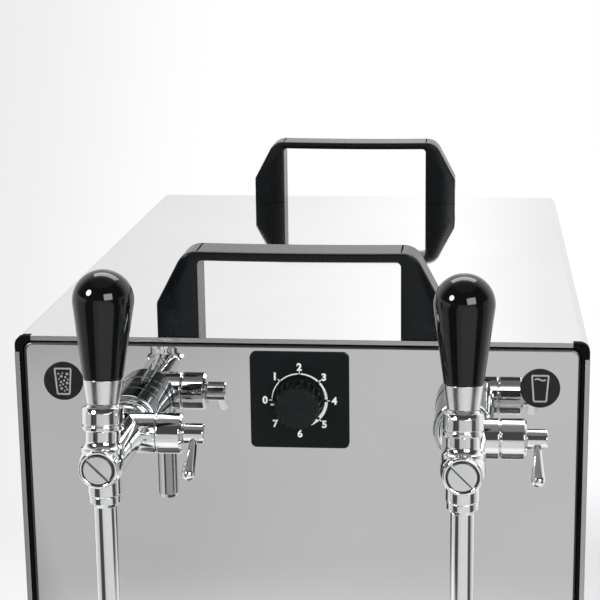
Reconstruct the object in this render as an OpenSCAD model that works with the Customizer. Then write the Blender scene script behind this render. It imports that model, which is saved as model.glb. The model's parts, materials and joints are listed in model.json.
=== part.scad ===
// Countertop soda water dispenser: a steel case with two compensator taps, a thermostat dial,
// two carry handles, a lift-off drip tray and the cooling and carbonating works inside.
// Frame: +Z up, the front faces -Y, origin on the counter under the middle of the object's box.

/* [Case] */
// Width over the side walls of the cover
casing_w = 290; // [284:1:320]
// Depth from the front panel to the rear edge of the cover
casing_d = 400; // [396:1:440]
// Height of the case without feet and carry handles
casing_h = 372; // [366:1:410]
// Thickness of the sheet steel
sheet_t = 1; // [0.8:0.1:1.2]
// Outside radius of the two long bends of the cover
bend_r = 5; // [4:0.5:6]
// Thickness of the folded hem round the front edge of the cover
hem_w = 2.4; // [2.2:0.1:2.8]
// Depth of that hem
hem_d = 8; // [7:0.5:10]
// Length of hem and bend cut away at each top corner
corner_relief = 8.5; // [8:0.5:11]
// Gap between hem and front panel
panel_gap = 1.8; // [1.5:0.1:2.2]
// Height of the rubber feet
foot_h = 15; // [10:1:25]
// Radius of the rubber feet
foot_r = 16; // [12:1:20]
// Height of the turned-up edges of the base tray
tray_edge_h = 25; // [22:1:30]

/* [Carry handles] */
// Width over both legs of a carry handle
handle_w = 145; // [135:1:160]
// Clear opening for the hand
handle_gap = 102; // [94:1:106]
// Height of the carry handles above the cover
handle_h = 44.5; // [42:0.5:52]
// Depth of the carry handles from front to back
handle_depth = 26; // [22:1:32]
// Thickness of the bar that is gripped
bar_t = 5.2; // [4.5:0.1:7]
// Distance of the handles from the front and rear edge of the cover
handle_inset = 2; // [1:0.5:12]
// Width of the inlaid cap strips
cap_w = 18; // [14:1:19]

/* [Dial and badges] */
// Side of the square dial plate
dial_w = 50; // [44:1:54]
// Distance of the middle of the dial plate below the top of the case
dial_drop = 31.5; // [31.5:0.5:40]
// Radius of the thermostat knob
knob_r = 12.3; // [10:0.1:14]
// Height of the thermostat knob
knob_h = 13.5; // [12:0.5:20]
// Radius of the two drink badges
badge_r = 10; // [8:0.5:11]
// Distance of each badge from the middle of the front
badge_x = 120.5; // [117:0.5:123]
// Distance of the badges below the top of the case
badge_drop = 23.5; // [22:0.5:34]

/* [Taps] */
// Distance of each tap from the middle of the front
tap_x = 83; // [76:0.5:84]
// Distance of the tap barrels below the top of the case
tap_drop = 38.5; // [36:0.5:44]
// Radius of the tap barrels
barrel_r = 10.5; // [10.2:0.1:11]
// Reach of the tap from the panel to the rim round its front plug
tap_reach = 90; // [89.5:0.1:92]
// Distance of the flow lever's axis from the panel
branch_u = 35; // [35:0.1:37]
// Radius of the side branch and of its packing nut
branch_r = 10; // [9:0.1:10.5]
// Length of the side branch from the barrel's axis
branch_len = 17.2; // [16.5:0.1:18.5]
// Radius of the handle's wide end
grip_r = 14.2; // [12.5:0.1:15]
// Distance from the handle's pivot to the top of the grip
grip_top = 68.4; // [60:0.2:78]
// Backward lean of the tap handles when shut, in degrees
handle_lean = 10; // [8:0.5:11]
// Forward swing of the tap handles, in degrees
handle_swing = 22; // [18:1:24]
// Distance from the barrel's axis down to the end of the spout
spout_drop = 74; // [60:1:90]
// Outside radius of the spout tube
spout_r = 5.7; // [5.2:0.1:6.4]

/* [Drip tray] */
// Width of the drip tray
tray_w = 240; // [200:2:260]
// Depth of the drip tray from front to back
tray_d = 115; // [100:1:130]
// Height of the drip tray
tray_h = 24; // [23:1:34]
// Height of the tray's rim above the underside of the case
tray_top = 78; // [70:1:100]
// Slots in each of the two rows of the grate
grate_slots = 17; // [9:2:17]

/* [Works] */
// Width of the insulated cooling block
block_w = 210; // [190:1:225]
// Depth of the cooling block
block_d = 110; // [96:1:112]
// Radius of the compressor shell
compressor_r = 60; // [50:1:60]
// Height of the compressor above the floor of the case
compressor_h = 150; // [120:1:154]
// Width of the condenser
condenser_w = 130; // [124:1:132]
// Height of the condenser
condenser_h = 182; // [160:1:196]
// Radius of the carbonation tank
tank_r = 36; // [30:1:36]
// Height of the carbonation tank
tank_h = 188; // [150:1:190]
// Bore radius of the water and gas inlets, for tube of 8 mm
inlet_bore_r = 4.05; // [3.05:0.05:4.6]
// Bore radius of the cord gland
gland_bore_r = 4.1; // [3.5:0.1:4.6]

/* [Hidden] */
$fn = 64;

// Clearances: between sheets, round the gasket, round sliding tap parts, and between moving bodies
sheet_fit = 0.2;
gasket_fit = 0.05;
run_fit = 0.1;
body_gap = 0.3;

// Extents in front of and behind the case, and the place of the case in the frame
tray_gap = 8;
tray_rim = 4;
tray_reach = tray_gap + tray_d + tray_rim;
inlet_reach = 22;
case_front_y = (tray_reach - casing_d - inlet_reach) / 2;

// Half widths from the outside in: cover, hem, front panel
half_w = casing_w / 2;
hem_x = half_w - hem_w;
panel_x = hem_x - panel_gap;
panel_top_gap = 0.6;
panel_top = casing_h - hem_w - panel_top_gap;
panel_corner_r = 5;
panel_bend_r = 2;
floor_half = half_w - sheet_t - sheet_fit;

// Screws of the case: along both sides and along the rear edge
screw_r = 1.9;
screw_head_r = 4;
screw_head_h = 2.2;
screw_len = 6;
screw_z = 14;
side_screw_y = [60, casing_d / 2, casing_d - 60];
rear_screw_x = [-0.43 * casing_w, 0, 0.43 * casing_w];

// Vents in both side walls and in the rear panel
side_vents = 8;
side_vent_len = 110;
vent_h = 5;
vent_pitch = 14;
rear_vent_len = 52;
rear_vents = 10;

// Carry handles: corner circles of the outline as x, height and radius
handle_edge = 1.5;
handle_corner_r = 8;
handle_side_r = 4;
shoulder_x = handle_w / 2 - 17.5;
shoulder_z = 18;
handle_corners = [
    [shoulder_x - handle_corner_r, handle_h - handle_corner_r, handle_corner_r],
    [handle_w / 2 - handle_side_r, shoulder_z, handle_side_r],
    [handle_w / 2 - handle_side_r, 0, handle_side_r]
];
handle_y = [handle_inset + handle_depth / 2, casing_d - handle_inset - handle_depth / 2];
opening_r = 4;
handle_foot_h = 8;
handle_foot_step = 0.5;
cap_t = 1.6;
cap_seam = 0.25;
cap_from_z = 10;
leg_x = (handle_w / 2 + handle_gap / 2) / 2;
handle_screw_r = 2.5;
handle_screw_head_r = 4.6;
handle_screw_head_h = 2.6;
handle_screw_in = 12;

// Depth of the bent edges of the front panel, which stop short of the handle screws
flange_d = min(12, handle_y[0] - handle_screw_head_r - body_gap);

// Dial and thermostat
dial_t = 1.2;
dial_corner_r = 3;
badge_t = 0.8;
bush_r = 4.9;
spindle_r = 3;
spindle_in = 6;
spindle_out = 11;
knob_gap = 0.4;
knob_skirt_h = 2.6;
knob_flutes = 20;
flute_r = 1.2;
flute_d = 2.2;
thermostat_w = 40;
thermostat_h = 32;
thermostat_d = 32;

// Tap: shank, flange, nuts and barrel, measured as radius and as distance in front of the panel
shank_r = 9;
shank_bore_r = 3.5;
shank_in = 42;
shank_out = 15;
hole_r = shank_r + body_gap;
flange_r = 15;
flange_h = 9;
back_nut_r = 15.5;
back_nut_h = 8;
union_u = flange_h + body_gap;
union_end = 24.2;
union_r = flange_r + 0.2;
union_edge = 0.9;
tail_r = 11.4;
root_u = union_end + 1;
root_r = 13;
root_end = 28.4;
bore_r = 7.2;
lip_r = 9.2;
lip_len = 3.8;
bead_r = (lip_r - bore_r) / 2;
edge = 0.6;
nose_angle = acos(lip_r / barrel_r);
nose_u = tap_reach - lip_len - barrel_r * sin(nose_angle);

// Tap: pivot of the handle, its ball, collar and stem
pivot_u = 75.1;
pivot_z = 20.7;
ball_r = 6.5;
seat_r = ball_r + body_gap;
neck_r = 8;
neck_foot_r = 10;
neck_flare = 2 * (neck_foot_r - neck_r);
neck_foot = 14.5;
neck_len = 21;
collar_r = 9.6;
collar_low = 6;
collar_groove = [-3.8, -2.6];
collar_groove_d = 0.6;
cap_r = 9.5;
stem_r = 3;
ferrule_seat_r = cap_r + 0.4;
ferrule_low_r = 7.5;
ferrule_top_r = 9.2;
notch_low = ferrule_seat_r * cos(asin(ferrule_low_r / ferrule_seat_r) + handle_swing) - 0.45;
notch_half = 4.6;
notch_top_half = 8.2;
grip_low = 17.5;
stem_in = 13;
finger_r = 2;
finger_tip_r = 2.2;
finger_len = 16.5;

// Tap: plunger, a spool that the tip of the finger pushes back and forth
tip_u = pivot_u + finger_len * sin(handle_lean);
spool_half = finger_tip_r + 0.6;
spool_r = 6;
spool_core_r = 1.6;
plunger_rear = 63.5;
plug_u = tap_reach - 6.6;
slot_w = 1.6;
slot_turn = -45;

// Tap: flow lever with an eccentric pin that shifts the flow cone
packing_gap = 0.2;
packing_len = 12.6;
hub_from = branch_len + packing_gap + packing_len + body_gap;
hub_r = 5;
hub_len = 10;
flow_spindle_r = 4;
flow_spindle_from = 7.3;
pin_r = 1.3;
pin_from = 2.2;
pin_offset = 2.5;
arm_len = 24;
arm_turn = 56;
arm_root_r = 1.5;
arm_tip_r = 3;
cone_r = 5.4;
cone_core_r = 1.5;
cone_groove_half = pin_r + 0.35;

// Tap: spout under the nose
spout_u = 76;
spout_boss_r = 8;
spout_boss_drop = 15.5;
spout_thread_r = 5;
spout_thread = 5;
spout_bore_r = 2.75;
spout_collar_r = 7.6;

// Drip tray: hook flange, the studs it hangs on, and the grate
tray_z = tray_top - tray_h;
hook_half = tray_w / 2 - 10;
hook_drop = 22;
stud_x = 0.66 * tray_w / 2;
stud_z = tray_top - 14;
stud_in = 6;
stud_neck = 1.8;
stud_r = 3;
stud_head_r = 5.5;
stud_head_h = 2.8;
grate_t = 1.5;
grate_gap = 0.6;
grate_r = 3;
tab_w = 16;
tab_d = 8;
grate_slot_w = 5;
grate_slot_len = 0.36 * tray_d;
grate_pitch = (tray_w - 34) / grate_slots;

// Works: places on the floor of the case
floor_z = sheet_t;
block_y = shank_in + 20;
block_rear = block_y + block_d;
block_top = casing_h - 20;
tap_z = casing_h - tap_drop;
condenser_x = half_w - 5 - condenser_w / 2;
condenser_y = casing_d - 48;
condenser_d = 36;
fan_x = condenser_x;
fan_z = floor_z + condenser_h / 2;
fan_ring_r = 56;
fan_r = fan_ring_r - 3;
shroud_t = 2;
ring_depth = 20;
spider_w = 6;
spider_t = 3;
spider_bore_r = 8;
motor_r = 22;
motor_h = 22;
motor_edge = 4;
fan_shaft_r = 2.5;
fan_shaft_in = 8;
fan_hub_r = 16;
fan_hub_h = 11;
fan_hub_low = 4;
blades = 5;
blade_w = 26;
blade_t = 1.6;
blade_turn = 26;
line_space = 22;
rear_space = 82;
compressor_x = compressor_r + line_space - half_w;
compressor_y = casing_d - rear_space - compressor_r;
mount_h = 12;
mount_off = 46;
suction_z = 100;
works_gap = 4.5;
wall_space = 9;
tank_port = 12;
tank_outlet = 18;
tank_x = half_w - wall_space - tank_r;
tank_y = block_rear + works_gap + tank_r;
pump_r = 27;
pump_h = 132;
pump_body_h = 90;
pump_head_w = 44;
pump_head_d = 36;
pump_port = 16;
pump_x = tank_x - tank_port - pump_port;
pump_y = ceil(tank_y + sqrt(pow(tank_r + works_gap + pump_r, 2) - pow(tank_x - pump_x, 2)));
line_r = 4;
line_bend = 10;
cool_line_r = 3;
inlet_z = 232;
inlet_in = 25;
port_h = 8;
gland_x = -0.2 * casing_w;
line_y = tank_y + tank_port;

SPARKLING = -1;
STILL = 1;

// Unit vector from p to q
function toward(p, q) = (q - p) / norm(q - p);

// Places and directions

// Case frame: middle of the front edge at the underside of the case
module on_case() translate([0, case_front_y, foot_h]) children();

// Tap frame: barrel axis where it leaves the front panel
module on_tap(side) on_case() translate([side * tap_x, 0, tap_z]) children();

// Handle frame: pivot of a tap handle, +Z up the leaning handle
module on_pivot(side) on_tap(side)
    translate([0, -pivot_u, pivot_z]) rotate([-handle_lean, 0, 0]) children();

// Branch frame: +Z out of the side branch, which points to +X on both taps
module on_branch(side) on_tap(side) translate([0, -branch_u, 0]) rotate([0, 90, 0]) children();

// Turns +Z out of the front panel
module outward() rotate([90, 0, 0]) children();

// Turns +Z out of the rear panel at a place on it
module on_rear(x, z) on_case() translate([x, casing_d, z]) rotate([-90, 0, 0]) children();

// Extrudes an outline drawn in X and Z from y0 to y1
module slab(y0, y1) translate([0, y1, 0]) rotate([90, 0, 0]) linear_extrude(y1 - y0) children();

// Extrudes an outline drawn in Y and Z from x0 to x1
module across(x0, x1) translate([x0, 0, 0]) rotate([90, 0, 90]) linear_extrude(x1 - x0) children();

// Shapes that repeat

module rounded_square(w, h, r) {
    square([w - 2 * r, h], center = true);
    square([w, h - 2 * r], center = true);
    for (sx = [-1, 1], sy = [-1, 1])
        translate([sx * (w / 2 - r), sy * (h / 2 - r)]) circle(r);
}

module stadium(len, h) {
    square([len - h, h], center = true);
    for (s = [-1, 1]) translate([s * (len - h) / 2, 0]) circle(h / 2);
}

// Outline that stands on y0 and has two rounded top corners
module top_rounded(half, y0, top, r) {
    translate([-half, y0]) square([2 * half, top - r - y0]);
    translate([r - half, y0]) square([2 * (half - r), top - y0]);
    for (s = [-1, 1]) translate([s * (half - r), top - r]) circle(r);
}

module case_outline(inset, low = 0) top_rounded(half_w - inset, low, casing_h - inset, bend_r - inset);

module panel_outline(inset, low = 0)
    top_rounded(panel_x - inset, low, panel_top - inset, panel_corner_r - inset);

// Wedge that a rod of the given half width sweeps as the handle swings forward
module swing_wedge(half, reach) {
    c = cos(handle_swing);
    s = sin(handle_swing);
    rotate([90, 0, -90]) linear_extrude(2 * half, center = true)
        polygon([[-half, -half * s], [-half, reach],
            [reach * s + half * c, reach * c - half * s], [half * c, -half * s]]);
}

// Quarter bend of a line at corner p between the directions d1 and d2
module line_bend_at(p, d1, d2, r) {
    n = cross(d1, d2);
    c = p - line_bend * d1 + line_bend * d2;
    multmatrix([[-d2.x, d1.x, n.x, c.x], [-d2.y, d1.y, n.y, c.y], [-d2.z, d1.z, n.z, c.z], [0, 0, 0, 1]])
        rotate_extrude(angle = 90) translate([line_bend, 0]) circle(r);
}

// Straight run of a line from p to q
module line_run(p, q, r) {
    d = toward(p, q);
    turn = abs(d.z) > 0.5 ? (d.z > 0 ? [0, 0, 0] : [180, 0, 0])
        : abs(d.y) > 0.5 ? (d.y > 0 ? [-90, 0, 0] : [90, 0, 0])
        : (d.x > 0 ? [0, 90, 0] : [0, -90, 0]);
    translate(p) rotate(turn) cylinder(r = r, h = norm(q - p));
}

// Line with square turns through the given points
module line(p, r) {
    n = len(p) - 1;
    for (i = [0 : n - 1]) {
        d = toward(p[i], p[i + 1]);
        line_run(p[i] + (i > 0 ? line_bend : 0) * d, p[i + 1] - (i < n - 1 ? line_bend : 0) * d, r);
        if (i < n - 1) line_bend_at(p[i + 1], d, toward(p[i + 1], p[i + 2]), r);
    }
}

// Case

module base_tray() color("lightgray") on_case() difference() {
    front_y = sheet_t + sheet_fit;
    side_y = hem_d + sheet_fit;
    rear_y = casing_d - sheet_t - sheet_fit;
    front_half = panel_x - panel_bend_r - sheet_fit;
    union() {
        translate([-floor_half, side_y, 0]) cube([2 * floor_half, rear_y - side_y, sheet_t]);
        translate([-front_half, front_y, 0]) cube([2 * front_half, side_y, sheet_t]);
        translate([-front_half, front_y, 0]) cube([2 * front_half, sheet_t, tray_edge_h]);
        translate([-floor_half, rear_y - sheet_t, 0]) cube([2 * floor_half, sheet_t, tray_edge_h]);
        for (s = [-1, 1])
            translate([s * (floor_half - sheet_t / 2) - sheet_t / 2, side_y, 0])
                cube([sheet_t, rear_y - side_y, tray_edge_h]);
    }
    case_screw_places() case_screw_hole();
}

// Section of a bent edge, with the middle of the bend at the origin
module bend_section() difference() {
    intersection() {
        circle(panel_bend_r);
        square(panel_bend_r);
    }
    circle(panel_bend_r - sheet_t);
}

// Bent edges of the front panel: both sides, both top corners and the top
module panel_bends(low) {
    corner_x = panel_x - panel_corner_r;
    corner_z = panel_top - panel_corner_r;
    for (s = [0, 1]) mirror([s, 0, 0]) translate([0, panel_bend_r, 0]) {
        translate([panel_x - panel_bend_r, 0, low]) mirror([0, 1, 0])
            linear_extrude(corner_z - low) bend_section();
        translate([corner_x, 0, corner_z]) outward() rotate_extrude(angle = 90)
            translate([panel_corner_r - panel_bend_r, 0]) bend_section();
    }
    translate([corner_x, panel_bend_r, panel_top - panel_bend_r]) mirror([0, 1, 0]) rotate([0, -90, 0])
        linear_extrude(2 * corner_x) bend_section();
}

module front_panel() color("silver") on_case() difference() {
    low = sheet_t + sheet_fit;
    union() {
        slab(0, sheet_t) panel_outline(panel_bend_r);
        slab(panel_bend_r, flange_d) difference() {
            panel_outline(0, low);
            panel_outline(sheet_t, 0);
        }
        panel_bends(low);
    }
    for (s = [-1, 1]) {
        translate([s * tap_x, sheet_t + 1, tap_z]) outward() cylinder(r = hole_r, h = sheet_t + 2);
        translate([s * stud_x, sheet_t + 1, stud_z]) outward() cylinder(r = stud_r, h = sheet_t + 2);
    }
    translate([0, sheet_t + 1, casing_h - dial_drop]) outward()
        cylinder(r = bush_r + run_fit, h = sheet_t + 2);
}

module cover() color("gainsboro") on_case() difference() {
    union() {
        slab(0, casing_d) difference() {
            case_outline(0);
            case_outline(sheet_t, -1);
        }
        translate([corner_relief - half_w, 0, casing_h - hem_w])
            cube([casing_w - 2 * corner_relief, hem_d, hem_w - sheet_t / 2]);
        for (s = [-1, 1])
            translate([s * (half_w - hem_w / 2 - sheet_t / 4) - (hem_w - sheet_t / 2) / 2, 0, 0])
                cube([hem_w - sheet_t / 2, hem_d, casing_h - corner_relief]);
    }
    for (s = [-1, 1])
        translate([s * half_w - corner_relief, -1, casing_h - corner_relief])
            cube([2 * corner_relief, hem_d / 2 + 1, 2 * corner_relief]);
    for (i = [0 : side_vents - 1])
        across(-half_w - 1, half_w + 1)
            translate([casing_d - 110, 60 + i * vent_pitch]) stadium(side_vent_len, vent_h);
    for (y = handle_y, s = [-1, 1])
        translate([s * leg_x, y, casing_h - sheet_t - 1])
            cylinder(r = handle_screw_r + sheet_fit, h = sheet_t + 2);
    case_screw_places() case_screw_hole();
}

module rear_panel() color("silver") on_case() difference() {
    slab(casing_d - sheet_t, casing_d) difference() {
        case_outline(sheet_t + sheet_fit);
        for (i = [0 : rear_vents - 1], s = [-1, 1])
            translate([condenser_x + s * (rear_vent_len / 2 + 5), 34 + i * vent_pitch])
                stadium(rear_vent_len, vent_h);
        for (x = [pump_x, tank_x + tank_port]) translate([x, inlet_z]) circle(7.5 + sheet_fit);
        translate([gland_x, inlet_z]) circle(9 + sheet_fit);
    }
    case_screw_places() case_screw_hole();
}

module front_gasket() color([0.05, 0.05, 0.05]) on_case() {
    low = tray_edge_h + 2;
    slab(0.8, hem_d) difference() {
        union() {
            translate([gasket_fit - hem_x, low])
                square([2 * (hem_x - gasket_fit), casing_h - hem_w - gasket_fit - low]);
            intersection() {
                case_outline(sheet_t + gasket_fit);
                gasket_corners();
            }
        }
        panel_outline(-gasket_fit, 0);
    }
    slab(0.2, hem_d / 2 - gasket_fit) difference() {
        intersection() {
            case_outline(0.1);
            gasket_corners();
        }
        panel_outline(-gasket_fit, 0);
    }
}

module gasket_corners()
    for (s = [-1, 1])
        translate([s * half_w - corner_relief + gasket_fit, casing_h - corner_relief + gasket_fit])
            square(2 * (corner_relief - gasket_fit));

module feet() color([0.08, 0.08, 0.08])
    for (x = [-1, 1], y = [40, casing_d - 40])
        on_case() translate([x * (half_w - 35), y, -foot_h])
            rotate_extrude()
                polygon([[0, 0], [foot_r - 2, 0], [foot_r, 2], [foot_r - 2, foot_h], [0, foot_h]]);

// Screws of the case

module case_screw_places() {
    for (y = side_screw_y) {
        translate([half_w, y, screw_z]) rotate([0, 90, 0]) children();
        translate([-half_w, y, screw_z]) rotate([0, -90, 0]) children();
    }
    for (x = rear_screw_x) translate([x, casing_d, screw_z]) rotate([-90, 0, 0]) children();
}

module case_screw_hole() translate([0, 0, -screw_len - 1]) cylinder(r = screw_r + run_fit, h = screw_len + 2);

module case_screws() color("silver") on_case() case_screw_places()
    rotate_extrude() polygon([[0, -screw_len], [screw_r, -screw_len], [screw_r, 0], [screw_head_r, 0],
        [screw_head_r, 0.8], [screw_head_r - 1.4, screw_head_h], [0, screw_head_h]]);

// Carry handles

// Convex block round a carry handle, with chamfered edges, shrunk in its outline by inset
module handle_block(inset = 0) difference() {
    hull()
        for (c = handle_corners, s = [-1, 1], e = [0, handle_edge])
            translate([s * c.x, 0, c.y]) rotate([90, 0, 0])
                cylinder(r = c.z - inset - e, h = handle_depth - 2 * (handle_edge - e), center = true, $fn = 32);
    translate([0, 0, -handle_w / 2]) cube([2 * handle_w, 2 * handle_depth, handle_w], center = true);
}

// Where the cap strips lie on both legs
module cap_zone(seam) for (s = [-1, 1])
    translate([s * (handle_gap / 2 + handle_w / 4), 0, handle_h])
        cube([handle_w / 2 + 2 * seam, cap_w + 2 * seam, 2 * (handle_h - cap_from_z + seam)], center = true);

module carry_handle() difference() {
    handle_block();
    rotate([90, 0, 0]) linear_extrude(2 * handle_depth, center = true)
        top_rounded(handle_gap / 2, -1, handle_h - bar_t, opening_r);
    difference() {
        cap_zone(cap_seam);
        handle_block(cap_t + cap_seam);
    }
    difference() {
        cube([2 * handle_w, 2 * handle_depth, 2 * handle_foot_h], center = true);
        for (s = [-1, 1])
            translate([s * leg_x, 0, 0])
                cube([handle_w / 2 - handle_gap / 2 - 2 * handle_foot_step,
                    handle_depth - 2 * handle_foot_step, 3 * handle_foot_h], center = true);
    }
    for (s = [-1, 1])
        translate([s * leg_x, 0, -1]) cylinder(r = handle_screw_r + run_fit, h = handle_screw_in + 2);
}

module on_handle(i) on_case() translate([0, handle_y[i], casing_h]) children();

module front_carry_handle() color([0.12, 0.13, 0.14]) on_handle(0) carry_handle();

module rear_carry_handle() color([0.12, 0.13, 0.14]) on_handle(1) carry_handle();

module handle_caps() color([0.14, 0.15, 0.16]) for (i = [0, 1])
    on_handle(i) difference() {
        intersection() {
            handle_block();
            cap_zone(0);
        }
        handle_block(cap_t);
    }

module handle_screws() color("silver") for (i = [0, 1], s = [-1, 1])
    on_handle(i) translate([s * leg_x, 0, -sheet_t])
        rotate_extrude() polygon([[0, -handle_screw_head_h], [handle_screw_head_r, -handle_screw_head_h],
            [handle_screw_head_r, 0], [handle_screw_r, 0], [handle_screw_r, sheet_t + handle_screw_in],
            [0, sheet_t + handle_screw_in]]);

// Dial and badges

module on_dial() on_case() translate([0, 0, casing_h - dial_drop]) outward() children();

module dial_plate() color([0.05, 0.05, 0.05]) on_dial()
    linear_extrude(dial_t) difference() {
        rounded_square(dial_w, dial_w, dial_corner_r);
        circle(bush_r + run_fit);
    }

module thermostat_knob() color([0.06, 0.06, 0.06]) on_dial() {
    low = dial_t + knob_gap;
    top = low + knob_h;
    difference() {
        rotate_extrude() polygon([[spindle_r + 0.05, low], [knob_r, low], [knob_r, low + knob_skirt_h - edge],
            [knob_r - 0.5, low + knob_skirt_h], [knob_r - 1.4, top - edge], [knob_r - 2, top], [0, top],
            [0, spindle_out + 0.2], [spindle_r + 0.05, spindle_out + 0.2]]);
        for (i = [0 : knob_flutes - 1])
            rotate(i * 360 / knob_flutes) translate([knob_r + flute_r - flute_d, 0, low + knob_skirt_h + edge])
                cylinder(r = flute_r, h = knob_h);
    }
}

module thermostat_spindle() color("silver") on_dial()
    translate([0, 0, -spindle_in]) cylinder(r = spindle_r, h = spindle_in + spindle_out);

module thermostat_body() color("dimgray") on_dial() difference() {
    union() {
        translate([-thermostat_w / 2, -thermostat_h / 2, -sheet_t - thermostat_d])
            cube([thermostat_w, thermostat_h, thermostat_d]);
        translate([0, 0, -sheet_t - 1]) cylinder(r = bush_r, h = sheet_t + 1 + dial_t);
    }
    translate([0, 0, -spindle_in - body_gap])
        cylinder(r = spindle_r + 0.05, h = spindle_in + body_gap + dial_t + 1);
}

module badge(side) color([0.05, 0.05, 0.05])
    on_case() translate([side * badge_x, 0, casing_h - badge_drop]) outward()
        rotate_extrude() polygon([[0, 0], [badge_r, 0], [badge_r, badge_t - 0.3],
            [badge_r - 0.3, badge_t], [0, badge_t]]);

// Drip tray

module on_tray() on_case() translate([0, -tray_gap - tray_d / 2, tray_z]) children();

module drip_tray() color("silver") {
    on_tray() difference() {
        union() {
            linear_extrude(tray_h) square([tray_w, tray_d], center = true);
            translate([0, 0, tray_h - sheet_t]) linear_extrude(sheet_t)
                rounded_square(tray_w + 2 * tray_rim, tray_d + 2 * tray_rim, tray_rim);
        }
        translate([0, 0, sheet_t]) linear_extrude(tray_h)
            square([tray_w - 2 * sheet_t, tray_d - 2 * sheet_t], center = true);
    }
    on_tray() for (sx = [-1, 1], sy = [-1, 1])
        translate([sx * (tray_w / 2 - sheet_t / 2 - tab_d / 2), sy * (tray_d / 2 - 30),
            tray_h - grate_t - body_gap - sheet_t / 2])
            cube([tab_d, tab_w, sheet_t], center = true);
    on_case() difference() {
        translate([0, 0, tray_top]) {
            translate([-hook_half, -tray_gap - sheet_t / 2, -sheet_t])
                cube([2 * hook_half, tray_gap + sheet_t / 2 - body_gap, sheet_t]);
            translate([-hook_half, -sheet_t - body_gap, -hook_drop])
                cube([2 * hook_half, sheet_t, hook_drop]);
        }
        for (s = [-1, 1]) translate([s * stud_x, 0, 0]) slab(-3, 1) {
            translate([0, stud_z]) circle(stud_r + body_gap);
            translate([-stud_r - body_gap, stud_z - 20]) square([2 * (stud_r + body_gap), 20]);
        }
    }
}

module drip_grate() color("gainsboro") on_tray() translate([0, 0, tray_h - grate_t])
    linear_extrude(grate_t) difference() {
        rounded_square(tray_w - 2 * (sheet_t + grate_gap), tray_d - 2 * (sheet_t + grate_gap), grate_r);
        for (i = [0 : grate_slots - 1], s = [-1, 1])
            translate([(i - (grate_slots - 1) / 2) * grate_pitch, s * tray_d * 0.22])
                rotate(90) stadium(grate_slot_len, grate_slot_w);
    }

module tray_studs() color("silver") for (s = [-1, 1])
    on_case() translate([s * stud_x, 0, stud_z]) outward()
        rotate_extrude() polygon([[0, -stud_in], [stud_r - run_fit, -stud_in], [stud_r - run_fit, 0],
            [stud_r, 0], [stud_r, stud_neck], [stud_head_r, stud_neck],
            [stud_head_r, stud_neck + stud_head_h - edge],
            [stud_head_r - edge, stud_neck + stud_head_h], [0, stud_neck + stud_head_h]]);

// Connections at the rear

module push_fit(x) color([0.9, 0.9, 0.88]) on_rear(x, inlet_z)
    rotate_extrude() polygon([[0, -inlet_in], [7.5, -inlet_in], [7.5, 0], [10.5, 0], [10.5, 5], [9.7, 5.8],
        [8.5, 5.8], [8.5, 16.4], [7.8, 17], [7.2, 17], [7.2, inlet_reach - 0.8], [6.4, inlet_reach],
        [inlet_bore_r, inlet_reach], [inlet_bore_r, 4], [0, 4]]);

module cord_gland() color([0.1, 0.1, 0.1]) on_rear(gland_x, inlet_z) difference() {
    cap_r = 10.8;
    cap_h = 14;
    cap_round = 5;
    union() {
        translate([0, 0, -10]) cylinder(r = 9, h = 12);
        cylinder(r = 13, h = 6, $fn = 6);
        translate([0, 0, 6]) rotate_extrude() {
            polygon([[0, -1], [cap_r, -1], [cap_r, cap_h - cap_round], [cap_r - cap_round, cap_h - cap_round],
                [cap_r - cap_round, cap_h], [0, cap_h]]);
            translate([cap_r - cap_round, cap_h - cap_round]) circle(cap_round);
        }
    }
    translate([0, 0, -11]) cylinder(r = gland_bore_r, h = 40);
}

// Works inside the case

module compressor() color([0.1, 0.1, 0.1]) on_case() translate([compressor_x, compressor_y, floor_z]) {
    crown = 40;
    translate([-mount_off - 12, -mount_off - 12, mount_h])
        cube([2 * (mount_off + 12), 2 * (mount_off + 12), 3]);
    translate([0, 0, mount_h + 1]) rotate_extrude()
        polygon(concat([[0, 0], [compressor_r - 8, 0], [compressor_r - 8, 6], [compressor_r, 14]],
            [for (i = [0 : 8]) [compressor_r * cos(i * 11.25),
                compressor_h - mount_h - 1 - crown + crown * sin(i * 11.25)]]));
}

module compressor_mounts() color([0.07, 0.07, 0.07]) for (sx = [-1, 1], sy = [-1, 1])
    on_case() translate([compressor_x + sx * mount_off, compressor_y + sy * mount_off, floor_z])
        rotate_extrude() polygon([[0, 0], [10, 0], [10, 4], [8, 6], [10, 8], [10, mount_h], [0, mount_h]]);

module condenser() color("darkgray") on_case() {
    fins = 18;
    fin_pitch = (condenser_w - 2) / (fins - 1);
    tubes = 5;
    translate([condenser_x - condenser_w / 2, condenser_y, floor_z]) {
        for (i = [0 : fins - 1])
            translate([i * fin_pitch, 0, 0])
                cube([i == 0 || i == fins - 1 ? 2 : 1, condenser_d, condenser_h]);
        for (i = [0 : tubes - 1])
            translate([0, condenser_d / 2, condenser_h * (i + 0.5) / tubes])
                rotate([0, 90, 0]) cylinder(r = 4.5, h = condenser_w);
    }
}

module on_fan() on_case() translate([fan_x, condenser_y, fan_z]) outward() children();

module fan_shroud() color([0.15, 0.15, 0.15]) on_fan() {
    linear_extrude(shroud_t) difference() {
        square([condenser_w - 2 * shroud_t, condenser_h - 4 * shroud_t], center = true);
        circle(fan_ring_r);
    }
    rotate_extrude() translate([fan_ring_r, 0]) square([shroud_t, ring_depth]);
    difference() {
        for (a = [90, 210, 330]) rotate(a) translate([0, -spider_w / 2, ring_depth - spider_t])
            cube([fan_ring_r + shroud_t / 2, spider_w, spider_t]);
        translate([0, 0, ring_depth / 2]) cylinder(r = spider_bore_r, h = ring_depth);
    }
}

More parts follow.
